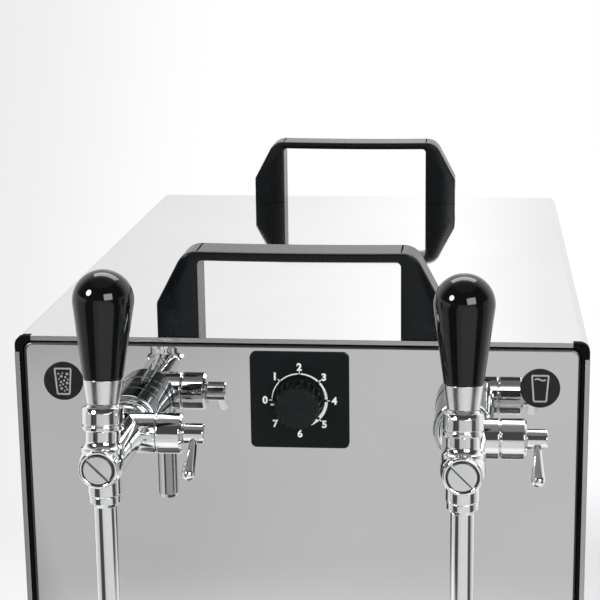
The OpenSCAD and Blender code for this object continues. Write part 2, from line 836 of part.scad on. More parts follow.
module fan_motor() color([0.12, 0.12, 0.12]) on_fan() difference() {
    translate([0, 0, ring_depth]) rotate_extrude() polygon([[0, 0], [motor_r - 1, 0], [motor_r, 1],
        [motor_r, motor_h - motor_edge], [motor_r - motor_edge, motor_h], [0, motor_h]]);
    translate([0, 0, ring_depth - 1]) cylinder(r = fan_shaft_r + 0.05, h = fan_shaft_in + 4);
}

module fan_blades() color([0.2, 0.2, 0.2]) on_fan() {
    middle = fan_hub_low + fan_hub_h / 2;
    translate([0, 0, fan_hub_low]) cylinder(r = fan_hub_r, h = fan_hub_h);
    translate([0, 0, middle]) cylinder(r = fan_shaft_r, h = ring_depth + fan_shaft_in - middle);
    intersection() {
        translate([0, 0, fan_hub_low - 1]) cylinder(r = fan_r, h = fan_hub_h + 2);
        for (i = [0 : blades - 1])
            rotate(i * 360 / blades) translate([0, 0, middle]) rotate([blade_turn, 0, 0])
                translate([fan_hub_r - 2, -blade_w / 2, -blade_t / 2]) cube([fan_r, blade_w, blade_t]);
    }
}

module cooling_block() color("whitesmoke") on_case() {
    lid_h = 40;
    translate([-block_w / 2, block_y, floor_z]) cube([block_w, block_d, block_top - floor_z - lid_h]);
    translate([-block_w / 2 - 3, block_y, block_top - lid_h]) cube([block_w + 6, block_d, lid_h]);
}

module carbonation_tank() color("silver") on_case() translate([tank_x, tank_y, floor_z]) {
    crown = 16;
    body_top = tank_h - port_h - 2;
    rotate_extrude() polygon(concat([[0, 0], [tank_r - 3, 0], [tank_r - 3, 10], [tank_r, 14]],
        [for (i = [0 : 6]) [tank_r * cos(i * 15), body_top - crown + crown * sin(i * 15)]]));
    for (p = [[-tank_port, tank_port], [tank_port, tank_port], [0, -tank_outlet]])
        translate([p.x, p.y, body_top - crown]) cylinder(r = 7, h = tank_h - body_top + crown);
}

module water_pump() color("slategray") on_case() translate([pump_x, pump_y, floor_z]) {
    head_h = pump_h - port_h - pump_body_h;
    cylinder(r = pump_r, h = 4);
    cylinder(r = pump_r - 1, h = pump_body_h);
    translate([0, 0, pump_body_h + head_h / 2]) cube([pump_head_w, pump_head_d, head_h], center = true);
    for (x = [0, pump_port]) translate([x, 0, pump_h - port_h - 1]) cylinder(r = 5.5, h = port_h + 1);
}

module water_lines() color("white") on_case() {
    pump_top = floor_z + pump_h;
    tank_top = floor_z + tank_h;
    gas_x = tank_x + tank_port;
    feed_x = tank_x - tank_port;
    feed_z = tank_top + line_bend + 8;
    out_y = tank_y - tank_outlet;
    for (s = [-1, 1]) line([[s * tap_x, shank_in, tap_z], [s * tap_x, block_y, tap_z]], line_r);
    line([[pump_x, casing_d - inlet_in, inlet_z], [pump_x, pump_y, inlet_z],
        [pump_x, pump_y, pump_top]], line_r);
    line([[gas_x, casing_d - inlet_in, inlet_z], [gas_x, line_y, inlet_z],
        [gas_x, line_y, tank_top]], line_r);
    line([[feed_x, pump_y, pump_top], [feed_x, pump_y, feed_z], [feed_x, line_y, feed_z],
        [feed_x, line_y, tank_top]], line_r);
    line([[tank_x, out_y, tank_top], [tank_x, out_y, feed_z], [tank_x, block_rear, feed_z]], line_r);
}

module refrigerant_lines() color("peru") on_case() {
    condenser_left = condenser_x - condenser_w / 2;
    y = condenser_y + condenser_d / 2;
    hot_z = floor_z + condenser_h - 14;
    low_z = 60;
    wall_x = line_space / 2 - half_w;
    line([[compressor_x, compressor_y + 26, floor_z + compressor_h - 2], [compressor_x, compressor_y + 26, hot_z],
        [compressor_x, y, hot_z], [condenser_left, y, hot_z]], cool_line_r);
    line([[condenser_left, y, low_z], [wall_x, y, low_z], [wall_x, block_y + block_d / 2, low_z],
        [-block_w / 2, block_y + block_d / 2, low_z]], cool_line_r);
    line([[compressor_x, block_rear, suction_z], [compressor_x, compressor_y - compressor_r, suction_z]],
        cool_line_r);
}

// Taps: parts shared by both

module tap_back_nuts() color("goldenrod") for (s = [-1, 1])
    on_tap(s) outward() translate([0, 0, -sheet_t - back_nut_h]) difference() {
        cylinder(r = back_nut_r, h = back_nut_h, $fn = 6);
        translate([0, 0, -1]) cylinder(r = shank_r + run_fit, h = back_nut_h + 2);
    }

module tap_union_nuts() color("silver") for (s = [-1, 1])
    on_tap(s) outward() rotate_extrude() {
        polygon([[shank_r + run_fit, union_u], [union_r - edge, union_u], [union_r, union_u + edge],
            [union_r, union_end - union_edge], [union_r - union_edge, union_end],
            [tail_r + run_fit, union_end], [tail_r + run_fit, shank_out], [shank_r + run_fit, shank_out]]);
        translate([union_r - union_edge, union_end - union_edge]) circle(union_edge);
    }

module tap_flange(side) color("silver") on_tap(side) outward() rotate_extrude()
    polygon([[hole_r - sheet_fit, 0], [flange_r, 0], [flange_r, flange_h - edge], [flange_r - edge, flange_h],
        [hole_r - sheet_fit, flange_h]]);

module tap_shank(side) color("silver") on_tap(side) outward() difference() {
    translate([0, 0, -shank_in]) cylinder(r = shank_r, h = shank_in + shank_out);
    translate([0, 0, -shank_in + 6]) cylinder(r = shank_bore_r, h = shank_in + shank_out);
}

// Taps: barrel with its side branch, neck and spout boss

// Half section of the barrel: tail, root with its fillet, round nose and beaded lip
module barrel_section() {
    difference() {
        polygon([[0, shank_out + body_gap], [tail_r, shank_out + body_gap], [tail_r, root_u],
            [root_r - edge, root_u], [root_r, root_u + edge], [root_r, root_end],
            [barrel_r, root_end], [barrel_r, nose_u], [0, nose_u]]);
        translate([root_r, root_end]) circle(root_r - barrel_r);
    }
    translate([0, nose_u]) intersection() {
        circle(barrel_r);
        square([barrel_r, tap_reach - bead_r - nose_u]);
    }
    translate([0, nose_u]) square([lip_r, tap_reach - bead_r - nose_u]);
    translate([lip_r - bead_r, tap_reach - bead_r]) circle(bead_r);
}

// Half section of the neck that carries the collar, with a flared foot
module neck_section() difference() {
    flare_top = neck_flare - neck_foot;
    polygon([[0, -neck_len], [neck_foot_r, -neck_len], [neck_foot_r, flare_top], [neck_r, flare_top],
        [neck_r, 0], [0, 0]]);
    translate([neck_r + neck_flare, flare_top]) circle(neck_flare);
}

module tap_body(side) color("silver") on_tap(side) difference() {
    union() {
        outward() rotate_extrude() barrel_section();
        translate([0, -branch_u, 0]) rotate([0, 90, 0]) rotate_extrude()
            polygon([[0, 0], [branch_r, 0], [branch_r, branch_len - edge], [branch_r - edge, branch_len],
                [0, branch_len]]);
        translate([0, -pivot_u, pivot_z]) rotate([-handle_lean, 0, 0]) rotate_extrude() neck_section();
        translate([0, -spout_u, -spout_boss_drop]) cylinder(r = spout_boss_r, h = spout_boss_drop);
    }
    outward() cylinder(r = bore_r, h = tap_reach + 1);
    translate([0, -branch_u, 0]) rotate([0, 90, 0])
        cylinder(r = flow_spindle_r + run_fit, h = branch_len + 1);
    translate([0, -pivot_u, pivot_z]) {
        sphere(seat_r);
        rotate([-handle_lean, 0, 0]) rotate([0, 0, 180]) mirror([0, 0, 1])
            swing_wedge(finger_tip_r + 0.4, finger_len + 2);
    }
    translate([0, -spout_u, -spout_boss_drop - 1]) {
        cylinder(r = spout_thread_r + run_fit, h = spout_thread + 1.2);
        cylinder(r = spout_bore_r + 0.2, h = spout_boss_drop);
    }
}

module tap_spout(side) color("silver") on_tap(side) translate([0, -spout_u, -spout_boss_drop])
    rotate_extrude() polygon([[spout_bore_r, spout_thread], [spout_thread_r, spout_thread],
        [spout_thread_r, -packing_gap], [spout_collar_r - edge, -packing_gap],
        [spout_collar_r, -packing_gap - edge], [spout_collar_r, -4], [spout_collar_r - edge, -4 - edge],
        [spout_r, -6], [spout_r, spout_boss_drop - spout_drop + 2],
        [spout_r - 0.8, spout_boss_drop - spout_drop], [spout_bore_r, spout_boss_drop - spout_drop]]);

module tap_front_plug(side) color("silver") on_tap(side) outward() difference() {
    plug_r = bore_r - run_fit;
    rotate_extrude() polygon([[0, plug_u], [plug_r, plug_u], [plug_r, tap_reach - 0.4],
        [plug_r - edge, tap_reach + 0.4], [0, tap_reach + 0.6]]);
    translate([0, 0, tap_reach + 0.6]) rotate(slot_turn) cube([3 * plug_r, slot_w, 3], center = true);
}

// Taps: handle with its ball, collar and plunger

module tap_collar(side) color("silver") on_pivot(side) difference() {
    bore = neck_r + run_fit;
    shoulder = acos(bore / cap_r);
    shoulder_h = cap_r * sin(shoulder);
    groove = collar_groove;
    rotate_extrude() difference() {
        union() {
            polygon([[0, -collar_low], [collar_r - edge, -collar_low], [collar_r, edge - collar_low],
                [collar_r, groove[0]], [collar_r - collar_groove_d, groove[0] + collar_groove_d / 2],
                [collar_r - collar_groove_d, groove[1] - collar_groove_d / 2], [collar_r, groove[1]],
                [collar_r, shoulder_h - edge], [collar_r - edge, shoulder_h], [0, shoulder_h]]);
            translate([collar_r - edge, shoulder_h - edge]) circle(edge);
            intersection() {
                circle(cap_r);
                square(cap_r);
            }
        }
        circle(seat_r);
        translate([-1, -collar_low - 1]) square([1 + bore, collar_low + 1 + body_gap]);
    }
    swing_wedge(stem_r + body_gap, cap_r + 4);
    difference() {
        slab(-2 * collar_r, 0)
            polygon([[-notch_half, notch_low], [notch_half, notch_low], [notch_top_half, shoulder_h + body_gap],
                [notch_top_half, cap_r], [-notch_top_half, cap_r], [-notch_top_half, shoulder_h + body_gap]]);
        sphere((cap_r + ferrule_seat_r) / 2);
    }
}

module tap_lever(side) color("lightgray") on_pivot(side) rotate_extrude() {
    ferrule_low = [ferrule_low_r, ferrule_seat_r * sin(acos(ferrule_low_r / ferrule_seat_r))];
    ferrule_top = [ferrule_top_r, grip_low];
    intersection() {
        union() {
            translate([0, -finger_len]) circle(finger_tip_r);
            circle(ball_r);
        }
        translate([0, -2 * finger_len]) square(4 * finger_len);
    }
    translate([0, -finger_len]) square([finger_r, finger_len]);
    square([stem_r, grip_low + stem_in]);
    difference() {
        polygon([[0, 0], ferrule_low - (ferrule_top - ferrule_low) / 4, ferrule_top, [0, grip_low]]);
        circle(ferrule_seat_r);
    }
}

module tap_grip(side) color([0.05, 0.05, 0.05]) on_pivot(side) {
    low = [ferrule_top_r, grip_low + 0.1 + edge];
    middle = [0, grip_top - grip_r];
    tangent = atan2(low.y - middle.y, low.x) + acos(grip_r / norm(low - middle));
    rotate_extrude() difference() {
        union() {
            polygon([[0, low.y - edge], [low.x - edge, low.y - edge], low,
                middle + grip_r * [cos(tangent), sin(tangent)], middle]);
            intersection() {
                translate(middle) circle(grip_r);
                translate([0, middle.y - grip_r]) square([grip_r, 2 * grip_r]);
            }
        }
        translate([-1, low.y - edge - 1]) square([1 + stem_r + 0.05, stem_in + 1.2]);
    }
}

module tap_plunger(side) color("dimgray") on_tap(side) outward() rotate_extrude()
    polygon([[0, plunger_rear], [spool_r + 0.6, plunger_rear], [spool_r + 0.6, plunger_rear + 3],
        [spool_core_r, plunger_rear + 4], [spool_core_r, tip_u - spool_half - 3],
        [spool_r, tip_u - spool_half - 3], [spool_r, tip_u - spool_half], [spool_core_r, tip_u - spool_half],
        [spool_core_r, tip_u + spool_half], [spool_r, tip_u + spool_half],
        [spool_r, tip_u + spool_half + 1.6], [0, tip_u + spool_half + 1.6]]);

// Taps: flow lever and flow cone

module tap_packing_nut(side) color("silver") on_branch(side)
    translate([0, 0, branch_len + packing_gap]) rotate_extrude()
        polygon([[flow_spindle_r + run_fit, 0], [branch_r - edge, 0], [branch_r, edge],
            [branch_r, packing_len - 2 * edge], [branch_r - 2 * edge, packing_len],
            [flow_spindle_r + run_fit, packing_len]]);

module tap_flow_lever(side) color("silver") on_branch(side) {
    rotate_extrude() polygon([[0, flow_spindle_from], [flow_spindle_r, flow_spindle_from],
        [flow_spindle_r, hub_from], [hub_r, hub_from], [hub_r, hub_from + hub_len - edge],
        [hub_r - edge, hub_from + hub_len], [0, hub_from + hub_len]]);
    translate([-pin_offset, 0, pin_from]) cylinder(r = pin_r, h = flow_spindle_from - pin_from + 1);
    translate([0, 0, hub_from + hub_len / 2]) rotate([0, 0, -arm_turn]) rotate([0, 90, 0]) rotate_extrude() {
        round_from = arm_len - arm_tip_r;
        polygon([[0, 0], [arm_root_r, 0], [arm_root_r, hub_r], [arm_tip_r, round_from], [0, round_from]]);
        translate([0, round_from]) intersection() {
            circle(arm_tip_r);
            square(arm_tip_r);
        }
    }
}

module tap_flow_cone(side) color("white") on_tap(side) outward() rotate_extrude()
    polygon([[0, branch_u - 9], [3.5, branch_u - 9], [cone_r, branch_u - 5],
        [cone_r, branch_u - cone_groove_half], [cone_core_r, branch_u - cone_groove_half],
        [cone_core_r, branch_u + cone_groove_half], [cone_r, branch_u + cone_groove_half],
        [cone_r, branch_u + 4], [2, branch_u + 15], [0, branch_u + 15]]);

// All sub-parts, drawn together or one at a time

base_tray();
front_panel();
cover();
rear_panel();
front_gasket();
feet();
case_screws();
front_carry_handle();
rear_carry_handle();
handle_caps();
handle_screws();
dial_plate();
thermostat_knob();
thermostat_spindle();
thermostat_body();
badge(SPARKLING);  // sparkling_badge
badge(STILL);  // still_badge
drip_tray();
drip_grate();
tray_studs();
push_fit(pump_x);  // water_inlet
push_fit(tank_x + tank_port);  // gas_inlet
cord_gland();
compressor();
compressor_mounts();
condenser();
fan_shroud();
fan_motor();
fan_blades();
cooling_block();
carbonation_tank();
water_pump();
water_lines();
refrigerant_lines();
tap_back_nuts();
tap_union_nuts();
tap_flange(SPARKLING);  // sparkling_flange
tap_shank(SPARKLING);  // sparkling_shank
tap_body(SPARKLING);  // sparkling_tap_body
tap_spout(SPARKLING);  // sparkling_spout
tap_front_plug(SPARKLING);  // sparkling_front_plug
tap_collar(SPARKLING);  // sparkling_collar
tap_lever(SPARKLING);  // sparkling_lever
tap_grip(SPARKLING);  // sparkling_grip
tap_plunger(SPARKLING);  // sparkling_plunger
tap_packing_nut(SPARKLING);  // sparkling_packing_nut
tap_flow_lever(SPARKLING);  // sparkling_flow_lever
tap_flow_cone(SPARKLING);  // sparkling_flow_cone
tap_flange(STILL);  // still_flange
tap_shank(STILL);  // still_shank
tap_body(STILL);  // still_tap_body
tap_spout(STILL);  // still_spout
tap_front_plug(STILL);  // still_front_plug
tap_collar(STILL);  // still_collar
tap_lever(STILL);  // still_lever
tap_grip(STILL);  // still_grip
tap_plunger(STILL);  // still_plunger
tap_packing_nut(STILL);  // still_packing_nut
tap_flow_lever(STILL);  // still_flow_lever
tap_flow_cone(STILL);  // still_flow_cone
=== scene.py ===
import json
import math

import bmesh
import bpy
from mathutils import Matrix, Vector


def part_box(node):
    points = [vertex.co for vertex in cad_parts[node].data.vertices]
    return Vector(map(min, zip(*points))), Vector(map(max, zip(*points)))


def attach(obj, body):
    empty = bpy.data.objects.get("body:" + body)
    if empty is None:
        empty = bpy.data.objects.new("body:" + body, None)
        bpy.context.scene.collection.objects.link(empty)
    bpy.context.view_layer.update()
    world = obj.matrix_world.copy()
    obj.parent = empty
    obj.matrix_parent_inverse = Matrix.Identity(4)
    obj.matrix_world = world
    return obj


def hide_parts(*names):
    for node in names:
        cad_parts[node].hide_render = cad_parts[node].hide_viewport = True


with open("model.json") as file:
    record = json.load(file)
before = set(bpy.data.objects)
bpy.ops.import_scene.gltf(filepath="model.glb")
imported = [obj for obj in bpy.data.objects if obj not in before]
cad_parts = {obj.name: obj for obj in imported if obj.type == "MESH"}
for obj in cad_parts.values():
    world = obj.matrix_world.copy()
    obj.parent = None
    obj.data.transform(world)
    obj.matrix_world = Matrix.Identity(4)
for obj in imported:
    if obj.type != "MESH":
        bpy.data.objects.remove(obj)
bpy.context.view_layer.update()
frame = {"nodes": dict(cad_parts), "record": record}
nodes = frame["nodes"]
scene = bpy.context.scene
scene.view_settings.view_transform = "Standard"

# Sizes of the pieces below are in millimetres, times MM where they meet the frame's metres
MM = 0.001

# Camera, as worked out from the edges of the case in the photograph

IMAGE_SIZE = 600
FOCAL_PIXELS = 1649.944
CENTRE_PIXEL = (374.204, 264.923)
CAMERA_FROM_TOP_EDGE = Vector((0.088615, -0.792856, 0.21756))
CAMERA_YAW = math.radians(-3.669)
CAMERA_PITCH = math.radians(12.694)
CAMERA_ROLL = math.radians(-0.178)
SENSOR_WIDTH = 36.0
CLIP_END = 100


def front_top_edge():
    """Middle of the front top edge of the cover."""
    low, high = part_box("cover")
    return Vector(((low.x + high.x) / 2, low.y, high.z))


def add_camera():
    """The photograph's camera, placed from the cover's front top edge."""
    data = bpy.data.cameras.new("camera")
    camera = bpy.data.objects.new("camera", data)
    scene.collection.objects.link(camera)
    forward = Vector((
        math.sin(CAMERA_YAW) * math.cos(CAMERA_PITCH),
        math.cos(CAMERA_YAW) * math.cos(CAMERA_PITCH),
        -math.sin(CAMERA_PITCH),
    ))
    right = Vector((math.cos(CAMERA_YAW), -math.sin(CAMERA_YAW), 0))
    up = right.cross(forward)
    rolled_right = right * math.cos(CAMERA_ROLL) + up * math.sin(CAMERA_ROLL)
    rolled_up = up * math.cos(CAMERA_ROLL) - right * math.sin(CAMERA_ROLL)
    turn = Matrix((rolled_right, rolled_up, -forward)).transposed()
    place = front_top_edge() + CAMERA_FROM_TOP_EDGE
    camera.matrix_world = Matrix.Translation(place) @ turn.to_4x4()
    data.sensor_width = SENSOR_WIDTH
    data.lens = FOCAL_PIXELS / IMAGE_SIZE * SENSOR_WIDTH
    data.shift_x = 0.5 - CENTRE_PIXEL[0] / IMAGE_SIZE
    data.shift_y = CENTRE_PIXEL[1] / IMAGE_SIZE - 0.5
    data.clip_end = CLIP_END
    scene.camera = camera


# Node trees

ALL_WAYS = (1, 1, 1)
DRIFT_FROM, DRIFT_TO = 0.3, 0.7
BEVEL_SAMPLES = 6
MIX_COLOUR_A, MIX_COLOUR_B, MIX_COLOUR_RESULT = 6, 7, 2


class Tree:
    """Short ways to add nodes to a node tree and to join them."""

    def __init__(self, tree):
        self.nodes = tree.nodes
        self.links = tree.links

    def add(self, kind, inputs=None, **settings):
        """A new node; inputs are numbers or sockets by name or place."""
        node = self.nodes.new("ShaderNode" + kind)
        for name, value in settings.items():
            setattr(node, name, value)
        for name, value in (inputs or {}).items():
            self.put(node.inputs[name], value)
        return node

    def put(self, socket, value):
        """Links a socket to this one, or sets its value."""
        if isinstance(value, bpy.types.NodeSocket):
            self.links.new(value, socket)
        else:
            socket.default_value = value

    def math(self, operation, a, b=0.0, clamp=False):
        node = self.add("Math", {0: a, 1: b}, operation=operation, use_clamp=clamp)
        return node.outputs[0]

    def step(self, value, low, high, from_value=0.0, to_value=1.0):
        """Smooth step from one value to another."""
        node = self.add("MapRange", {
            "Value": value, "From Min": low, "From Max": high, "To Min": from_value, "To Max": to_value,
        }, interpolation_type="SMOOTHSTEP")
        return node.outputs["Result"]

    def mix(self, factor, a, b):
        node = self.add("Mix", {"Factor": factor, "A": a, "B": b}, data_type="FLOAT")
        return node.outputs["Result"]

    def noise(self, scale, detail, stretch):
        """Noise in the object's own metres, drawn out by stretch."""
        place = self.add("TexCoord").outputs["Object"]
        spread = self.add("Mapping", {"Vector": place, "Scale": stretch}).outputs["Vector"]
        node = self.add("TexNoise", {"Vector": spread, "Scale": scale, "Detail": detail})
        return node.outputs["Fac"]

    def split(self, vector):
        """The X, Y and Z of a vector, by name."""
        return self.add("SeparateXYZ", {"Vector": vector}).outputs

    def minus(self, value):
        return self.math("MULTIPLY", value, -1.0)

    def bearing(self, x, y):
        """Angle round the part, in radians: 0 to the front, growing to the right."""
        return self.math("ARCTAN2", x, self.minus(y))

    def turn_share(self, bearing):
        """A bearing as a share of the full turn, with 0.5 to the front."""
        return self.math("ADD", self.math("DIVIDE", bearing, 2 * math.pi), 0.5)

    def ramp(self, value, stops):
        """Grey values along a ramp, as pairs of place and value."""
        node = self.add("ValToRGB", {"Fac": value})
        points = node.color_ramp.elements
        while len(points) < len(stops):
            points.new(1.0)
        for point, (place, grey) in zip(points, stops):
            point.position = place
            point.color = (grey, grey, grey, 1)
        return node.outputs["Color"]


class Material(Tree):
    """A material round one Principled shader."""

    def __init__(self, name, **values):
        self.data = bpy.data.materials.new(name)
        self.data.use_nodes = True
        super().__init__(self.data.node_tree)
        self.shader = self.nodes["Principled BSDF"]
        for socket, value in values.items():
            self.shader.inputs[socket.replace("_", " ")].default_value = value

    def tint(self, low, high, scale, detail=3.0):
        """Base colour that drifts between two colours."""
        node = self.add("ValToRGB", {"Fac": self.noise(scale, detail, ALL_WAYS)})
        ends = node.color_ramp.elements
        ends[0].position, ends[1].position = DRIFT_FROM, DRIFT_TO
        ends[0].color, ends[1].color = (*low, 1), (*high, 1)
        self.put(self.shader.inputs["Base Color"], node.outputs["Color"])

    def gloss(self, low, high, scale, detail=3.0):
        """Roughness that drifts between two values."""
        value = self.step(self.noise(scale, detail, ALL_WAYS), DRIFT_FROM, DRIFT_TO, low, high)
        self.put(self.shader.inputs["Roughness"], value)

    def facing_front(self, low, high):
        """Share from 0 to 1 of how squarely the surface faces the front."""
        normal = self.split(self.add("NewGeometry").outputs["Normal"])
        return self.step(self.minus(normal["Y"]), low, high)

    def change(self, share, colour, roughness):
        """Goes over to another colour and roughness where share is 1."""
        base, rough = self.shader.inputs["Base Color"], self.shader.inputs["Roughness"]
        node = self.add("Mix", {"Factor": share}, data_type="RGBA")
        self.put(node.inputs[MIX_COLOUR_A], base.links[0].from_socket)
        self.put(node.inputs[MIX_COLOUR_B], (*colour, 1))
        mixed = self.mix(share, rough.links[0].from_socket, roughness)
        self.put(base, node.outputs[MIX_COLOUR_RESULT])
        self.put(rough, mixed)

    def relief(self, layers, bevel=0.0):
        """Bumps as tuples of scale, detail, stretch and height in metres, over softened edges."""
        normal = None
        if bevel:
            normal = self.add("Bevel", {"Radius": bevel}, samples=BEVEL_SAMPLES).outputs["Normal"]
        for scale, detail, stretch, height in layers:
            inputs = {"Height": self.noise(scale, detail, stretch), "Distance": height, "Strength": 1.0}
            if normal:
                inputs["Normal"] = normal
            normal = self.add("Bump", inputs).outputs["Normal"]
        self.put(self.shader.inputs["Normal"], normal)


# Materials. Each is a tint and a gloss, as two ends and a noise scale, and a relief

ROLLED = (1, 1, 60)
TURNED = (1, 1, 20)
DRAWN = (1, 1, 30)
THREADED = (1, 20, 1)


def bright_steel():
    m = Material("bright_steel", Metallic=1.0)
    m.tint((0.62, 0.62, 0.615), (0.66, 0.66, 0.655), 9)
    m.gloss(0.035, 0.055, 14)
    # Painted shade: the faces that turn to the front, as on the front hem, are painted darker and made
    # rougher
    m.change(m.facing_front(0.6, 0.9), (0.42, 0.42, 0.41), 0.16)
    m.relief([(5, 1, ALL_WAYS, 0.00008), (700, 3, ALL_WAYS, 0.0000004)], bevel=0.0003)
    return m


def panel_steel():
    m = Material("panel_steel", Metallic=1.0)
    m.tint((0.625, 0.625, 0.62), (0.655, 0.655, 0.65), 12)
    m.gloss(0.02, 0.035, 20)
    # Painted shade: the panel's bent edges and other faces not squarely to the front are painted nearly
    # black, which also takes glints off them
    m.change(m.facing_front(0.9995, 0.965), (0.085, 0.085, 0.09), 0.35)
    m.relief([(6, 1, ALL_WAYS, 0.00004), (700, 3, ALL_WAYS, 0.0000003)])
    return m


def plain_steel():
    m = Material("plain_steel", Metallic=1.0)
    m.tint((0.5, 0.51, 0.52), (0.62, 0.63, 0.64), 60, 4)
    m.gloss(0.24, 0.4, 90, 4)
    m.relief([(900, 2, ROLLED, 0.000004)], bevel=0.0003)
    return m


def chrome():
    m = Material("chrome", Metallic=1.0)
    m.tint((0.8, 0.81, 0.82), (0.86, 0.87, 0.88), 40)
    m.gloss(0.035, 0.07, 120)
    m.relief([(140, 2, ALL_WAYS, 0.000004)], bevel=0.00045)
    return m


def plug_chrome():
    m = Material("plug_chrome", Metallic=1.0)
    m.tint((0.7, 0.71, 0.72), (0.76, 0.77, 0.78), 40)
    m.gloss(0.05, 0.09, 120)
    # Painted shade: the plug's faces that turn away from the front are painted nearly black
    m.change(m.facing_front(0.9, 0.5), (0.03, 0.03, 0.03), 0.4)
    m.relief([(140, 2, ALL_WAYS, 0.000004)])
    return m


# A darker copy of chrome: painted shade for the union nuts and flanges, whose chrome mirrors dark
# surroundings
def chrome_with_painted_shade():
    m = Material("chrome_with_painted_shade", Metallic=1.0)
    m.tint((0.36, 0.385, 0.4), (0.42, 0.445, 0.46), 40)
    m.gloss(0.05, 0.09, 120)
    m.relief([(140, 2, ALL_WAYS, 0.000004)], bevel=0.00045)
    return m


def satin_chrome():
    m = Material("satin_chrome", Metallic=1.0)
    m.tint((0.8, 0.81, 0.81), (0.86, 0.86, 0.86), 300)
    m.gloss(0.2, 0.26, 300)
    m.relief([(1500, 2, TURNED, 0.000001)], bevel=0.0003)
    return m


def black_plastic():
    m = Material("black_plastic", IOR=1.5, Specular_IOR_Level=0.26)
    m.tint((0.001, 0.002, 0.0028), (0.0018, 0.003, 0.0038), 400)
    m.gloss(0.24, 0.28, 900)
    m.relief([(2600, 2, ALL_WAYS, 0.0000006), (60, 1, ALL_WAYS, 0.00001)], bevel=0.0006)
    return m


def gloss_black():
    m = Material("gloss_black", IOR=1.46)
    m.tint((0.002, 0.0025, 0.0027), (0.003, 0.0035, 0.0037), 60)
    m.gloss(0.035, 0.06, 160)
    m.relief([(60, 1, ALL_WAYS, 0.000015)], bevel=0.0004)
    return m


def knob_black():
    m = Material("knob_black", IOR=1.5, Specular_IOR_Level=0.25)
    m.tint((0.002, 0.004, 0.0045), (0.0035, 0.0055, 0.006), 200)
    m.gloss(0.3, 0.42, 500)
    m.relief([(3000, 2, ALL_WAYS, 0.000006)], bevel=0.0004)
    return m


def dial_black():
    m = Material("dial_black", IOR=1.45, Specular_IOR_Level=0.2)
    m.tint((0.0015, 0.004, 0.004), (0.003, 0.0055, 0.0055), 120)
    m.gloss(0.34, 0.46, 300)
    m.relief([(2200, 2, ALL_WAYS, 0.000006)], bevel=0.0003)
    return m


def badge_black():
    m = Material("badge_black", IOR=1.45, Specular_IOR_Level=0.2)
    m.tint((0.009, 0.01, 0.011), (0.013, 0.014, 0.015), 200)
    m.gloss(0.4, 0.5, 400)
    m.relief([(2200, 2, ALL_WAYS, 0.000006)], bevel=0.0002)
    return m


def rubber():
    m = Material("rubber", IOR=1.4, Specular_IOR_Level=0.12)
    m.tint((0.0012, 0.0012, 0.0014), (0.0025, 0.0025, 0.0027), 300)
    m.gloss(0.65, 0.8, 500)
    m.relief([(1800, 3, ALL_WAYS, 0.00002)], bevel=0.0005)
    return m


def white_plastic():
    m = Material("white_plastic", IOR=1.46)
    m.tint((0.76, 0.76, 0.74), (0.83, 0.83, 0.81), 80)
    m.gloss(0.3, 0.42, 300)
    m.relief([(700, 2, ALL_WAYS, 0.000008)], bevel=0.0003)
    return m


def foam():
    m = Material("foam")
    m.tint((0.68, 0.68, 0.65), (0.8, 0.8, 0.77), 350, 5)
    m.gloss(0.8, 0.95, 300)
    m.relief([(900, 4, ALL_WAYS, 0.0002)], bevel=0.001)
    return m


def black_paint():
    m = Material("black_paint", IOR=1.5)
    m.tint((0.011, 0.011, 0.011), (0.018, 0.018, 0.018), 50)
    m.gloss(0.22, 0.34, 200)
    m.relief([(350, 2, ALL_WAYS, 0.00003)], bevel=0.0006)
    return m


def aluminium():
    m = Material("aluminium", Metallic=1.0)
    m.tint((0.62, 0.63, 0.64), (0.74, 0.75, 0.76), 50)
    m.gloss(0.28, 0.42, 200)
    m.relief([(900, 2, DRAWN, 0.000006)])
    return m


def copper():
    m = Material("copper", Metallic=1.0)
    m.tint((0.6, 0.33, 0.21), (0.76, 0.46, 0.32), 70, 4)
    m.gloss(0.2, 0.36, 150)
    m.relief([(400, 2, ALL_WAYS, 0.000006)])
    return m


def brass():
    m = Material("brass", Metallic=1.0)
    m.tint((0.66, 0.5, 0.22), (0.78, 0.62, 0.32), 120, 4)
    m.gloss(0.18, 0.32, 250)
    m.relief([(700, 2, THREADED, 0.000004)], bevel=0.0004)
    return m


def print_white():
    m = Material("print_white", IOR=1.45)
    m.tint((0.86, 0.87, 0.87), (0.93, 0.93, 0.93), 900)
    m.gloss(0.4, 0.55, 900)
    return m


def print_grey():
    m = Material("print_grey", IOR=1.45)
    m.tint((0.3, 0.3, 0.3), (0.37, 0.37, 0.37), 900)
    m.gloss(0.4, 0.55, 900)
    return m


OWN_FINISH = {
    "front_panel": "panel_steel",
    "sparkling_front_plug": "plug_chrome",
    "still_front_plug": "plug_chrome",
    "tap_union_nuts": "chrome_with_painted_shade",
    "sparkling_flange": "chrome_with_painted_shade",
    "still_flange": "chrome_with_painted_shade",
    "thermostat_knob": "knob_black",
    "sparkling_badge": "badge_black",
    "still_badge": "badge_black",
}
MAKERS = (
    bright_steel, panel_steel, plain_steel, chrome, plug_chrome, chrome_with_painted_shade, satin_chrome, black_plastic,
    gloss_black, knob_black, dial_black, badge_black, rubber, white_plastic, foam, black_paint, aluminium,
    copper, brass, print_white, print_grey,
)
materials = {make.__name__: make().data for make in MAKERS}


def dress_nodes():
    """Gives each CAD node the finish of its material slot."""
    for part in frame["record"]["subparts"]:
        name = part["node"]
        finish = OWN_FINISH.get(name, part["material_slot"])
        mesh = nodes[name].data
        mesh.materials.clear()
        mesh.materials.append(materials[finish])


# Printed signs, drawn in X and Z on a plane that faces the front

PRINT_T, PRINT_SINK = 0.06 * MM, 0.012 * MM
DIGIT_EXTRUDE = 0.05
DIGIT_BOLD = 0.042
BOLD_EXCEPTIONS = {"6": 0.03}


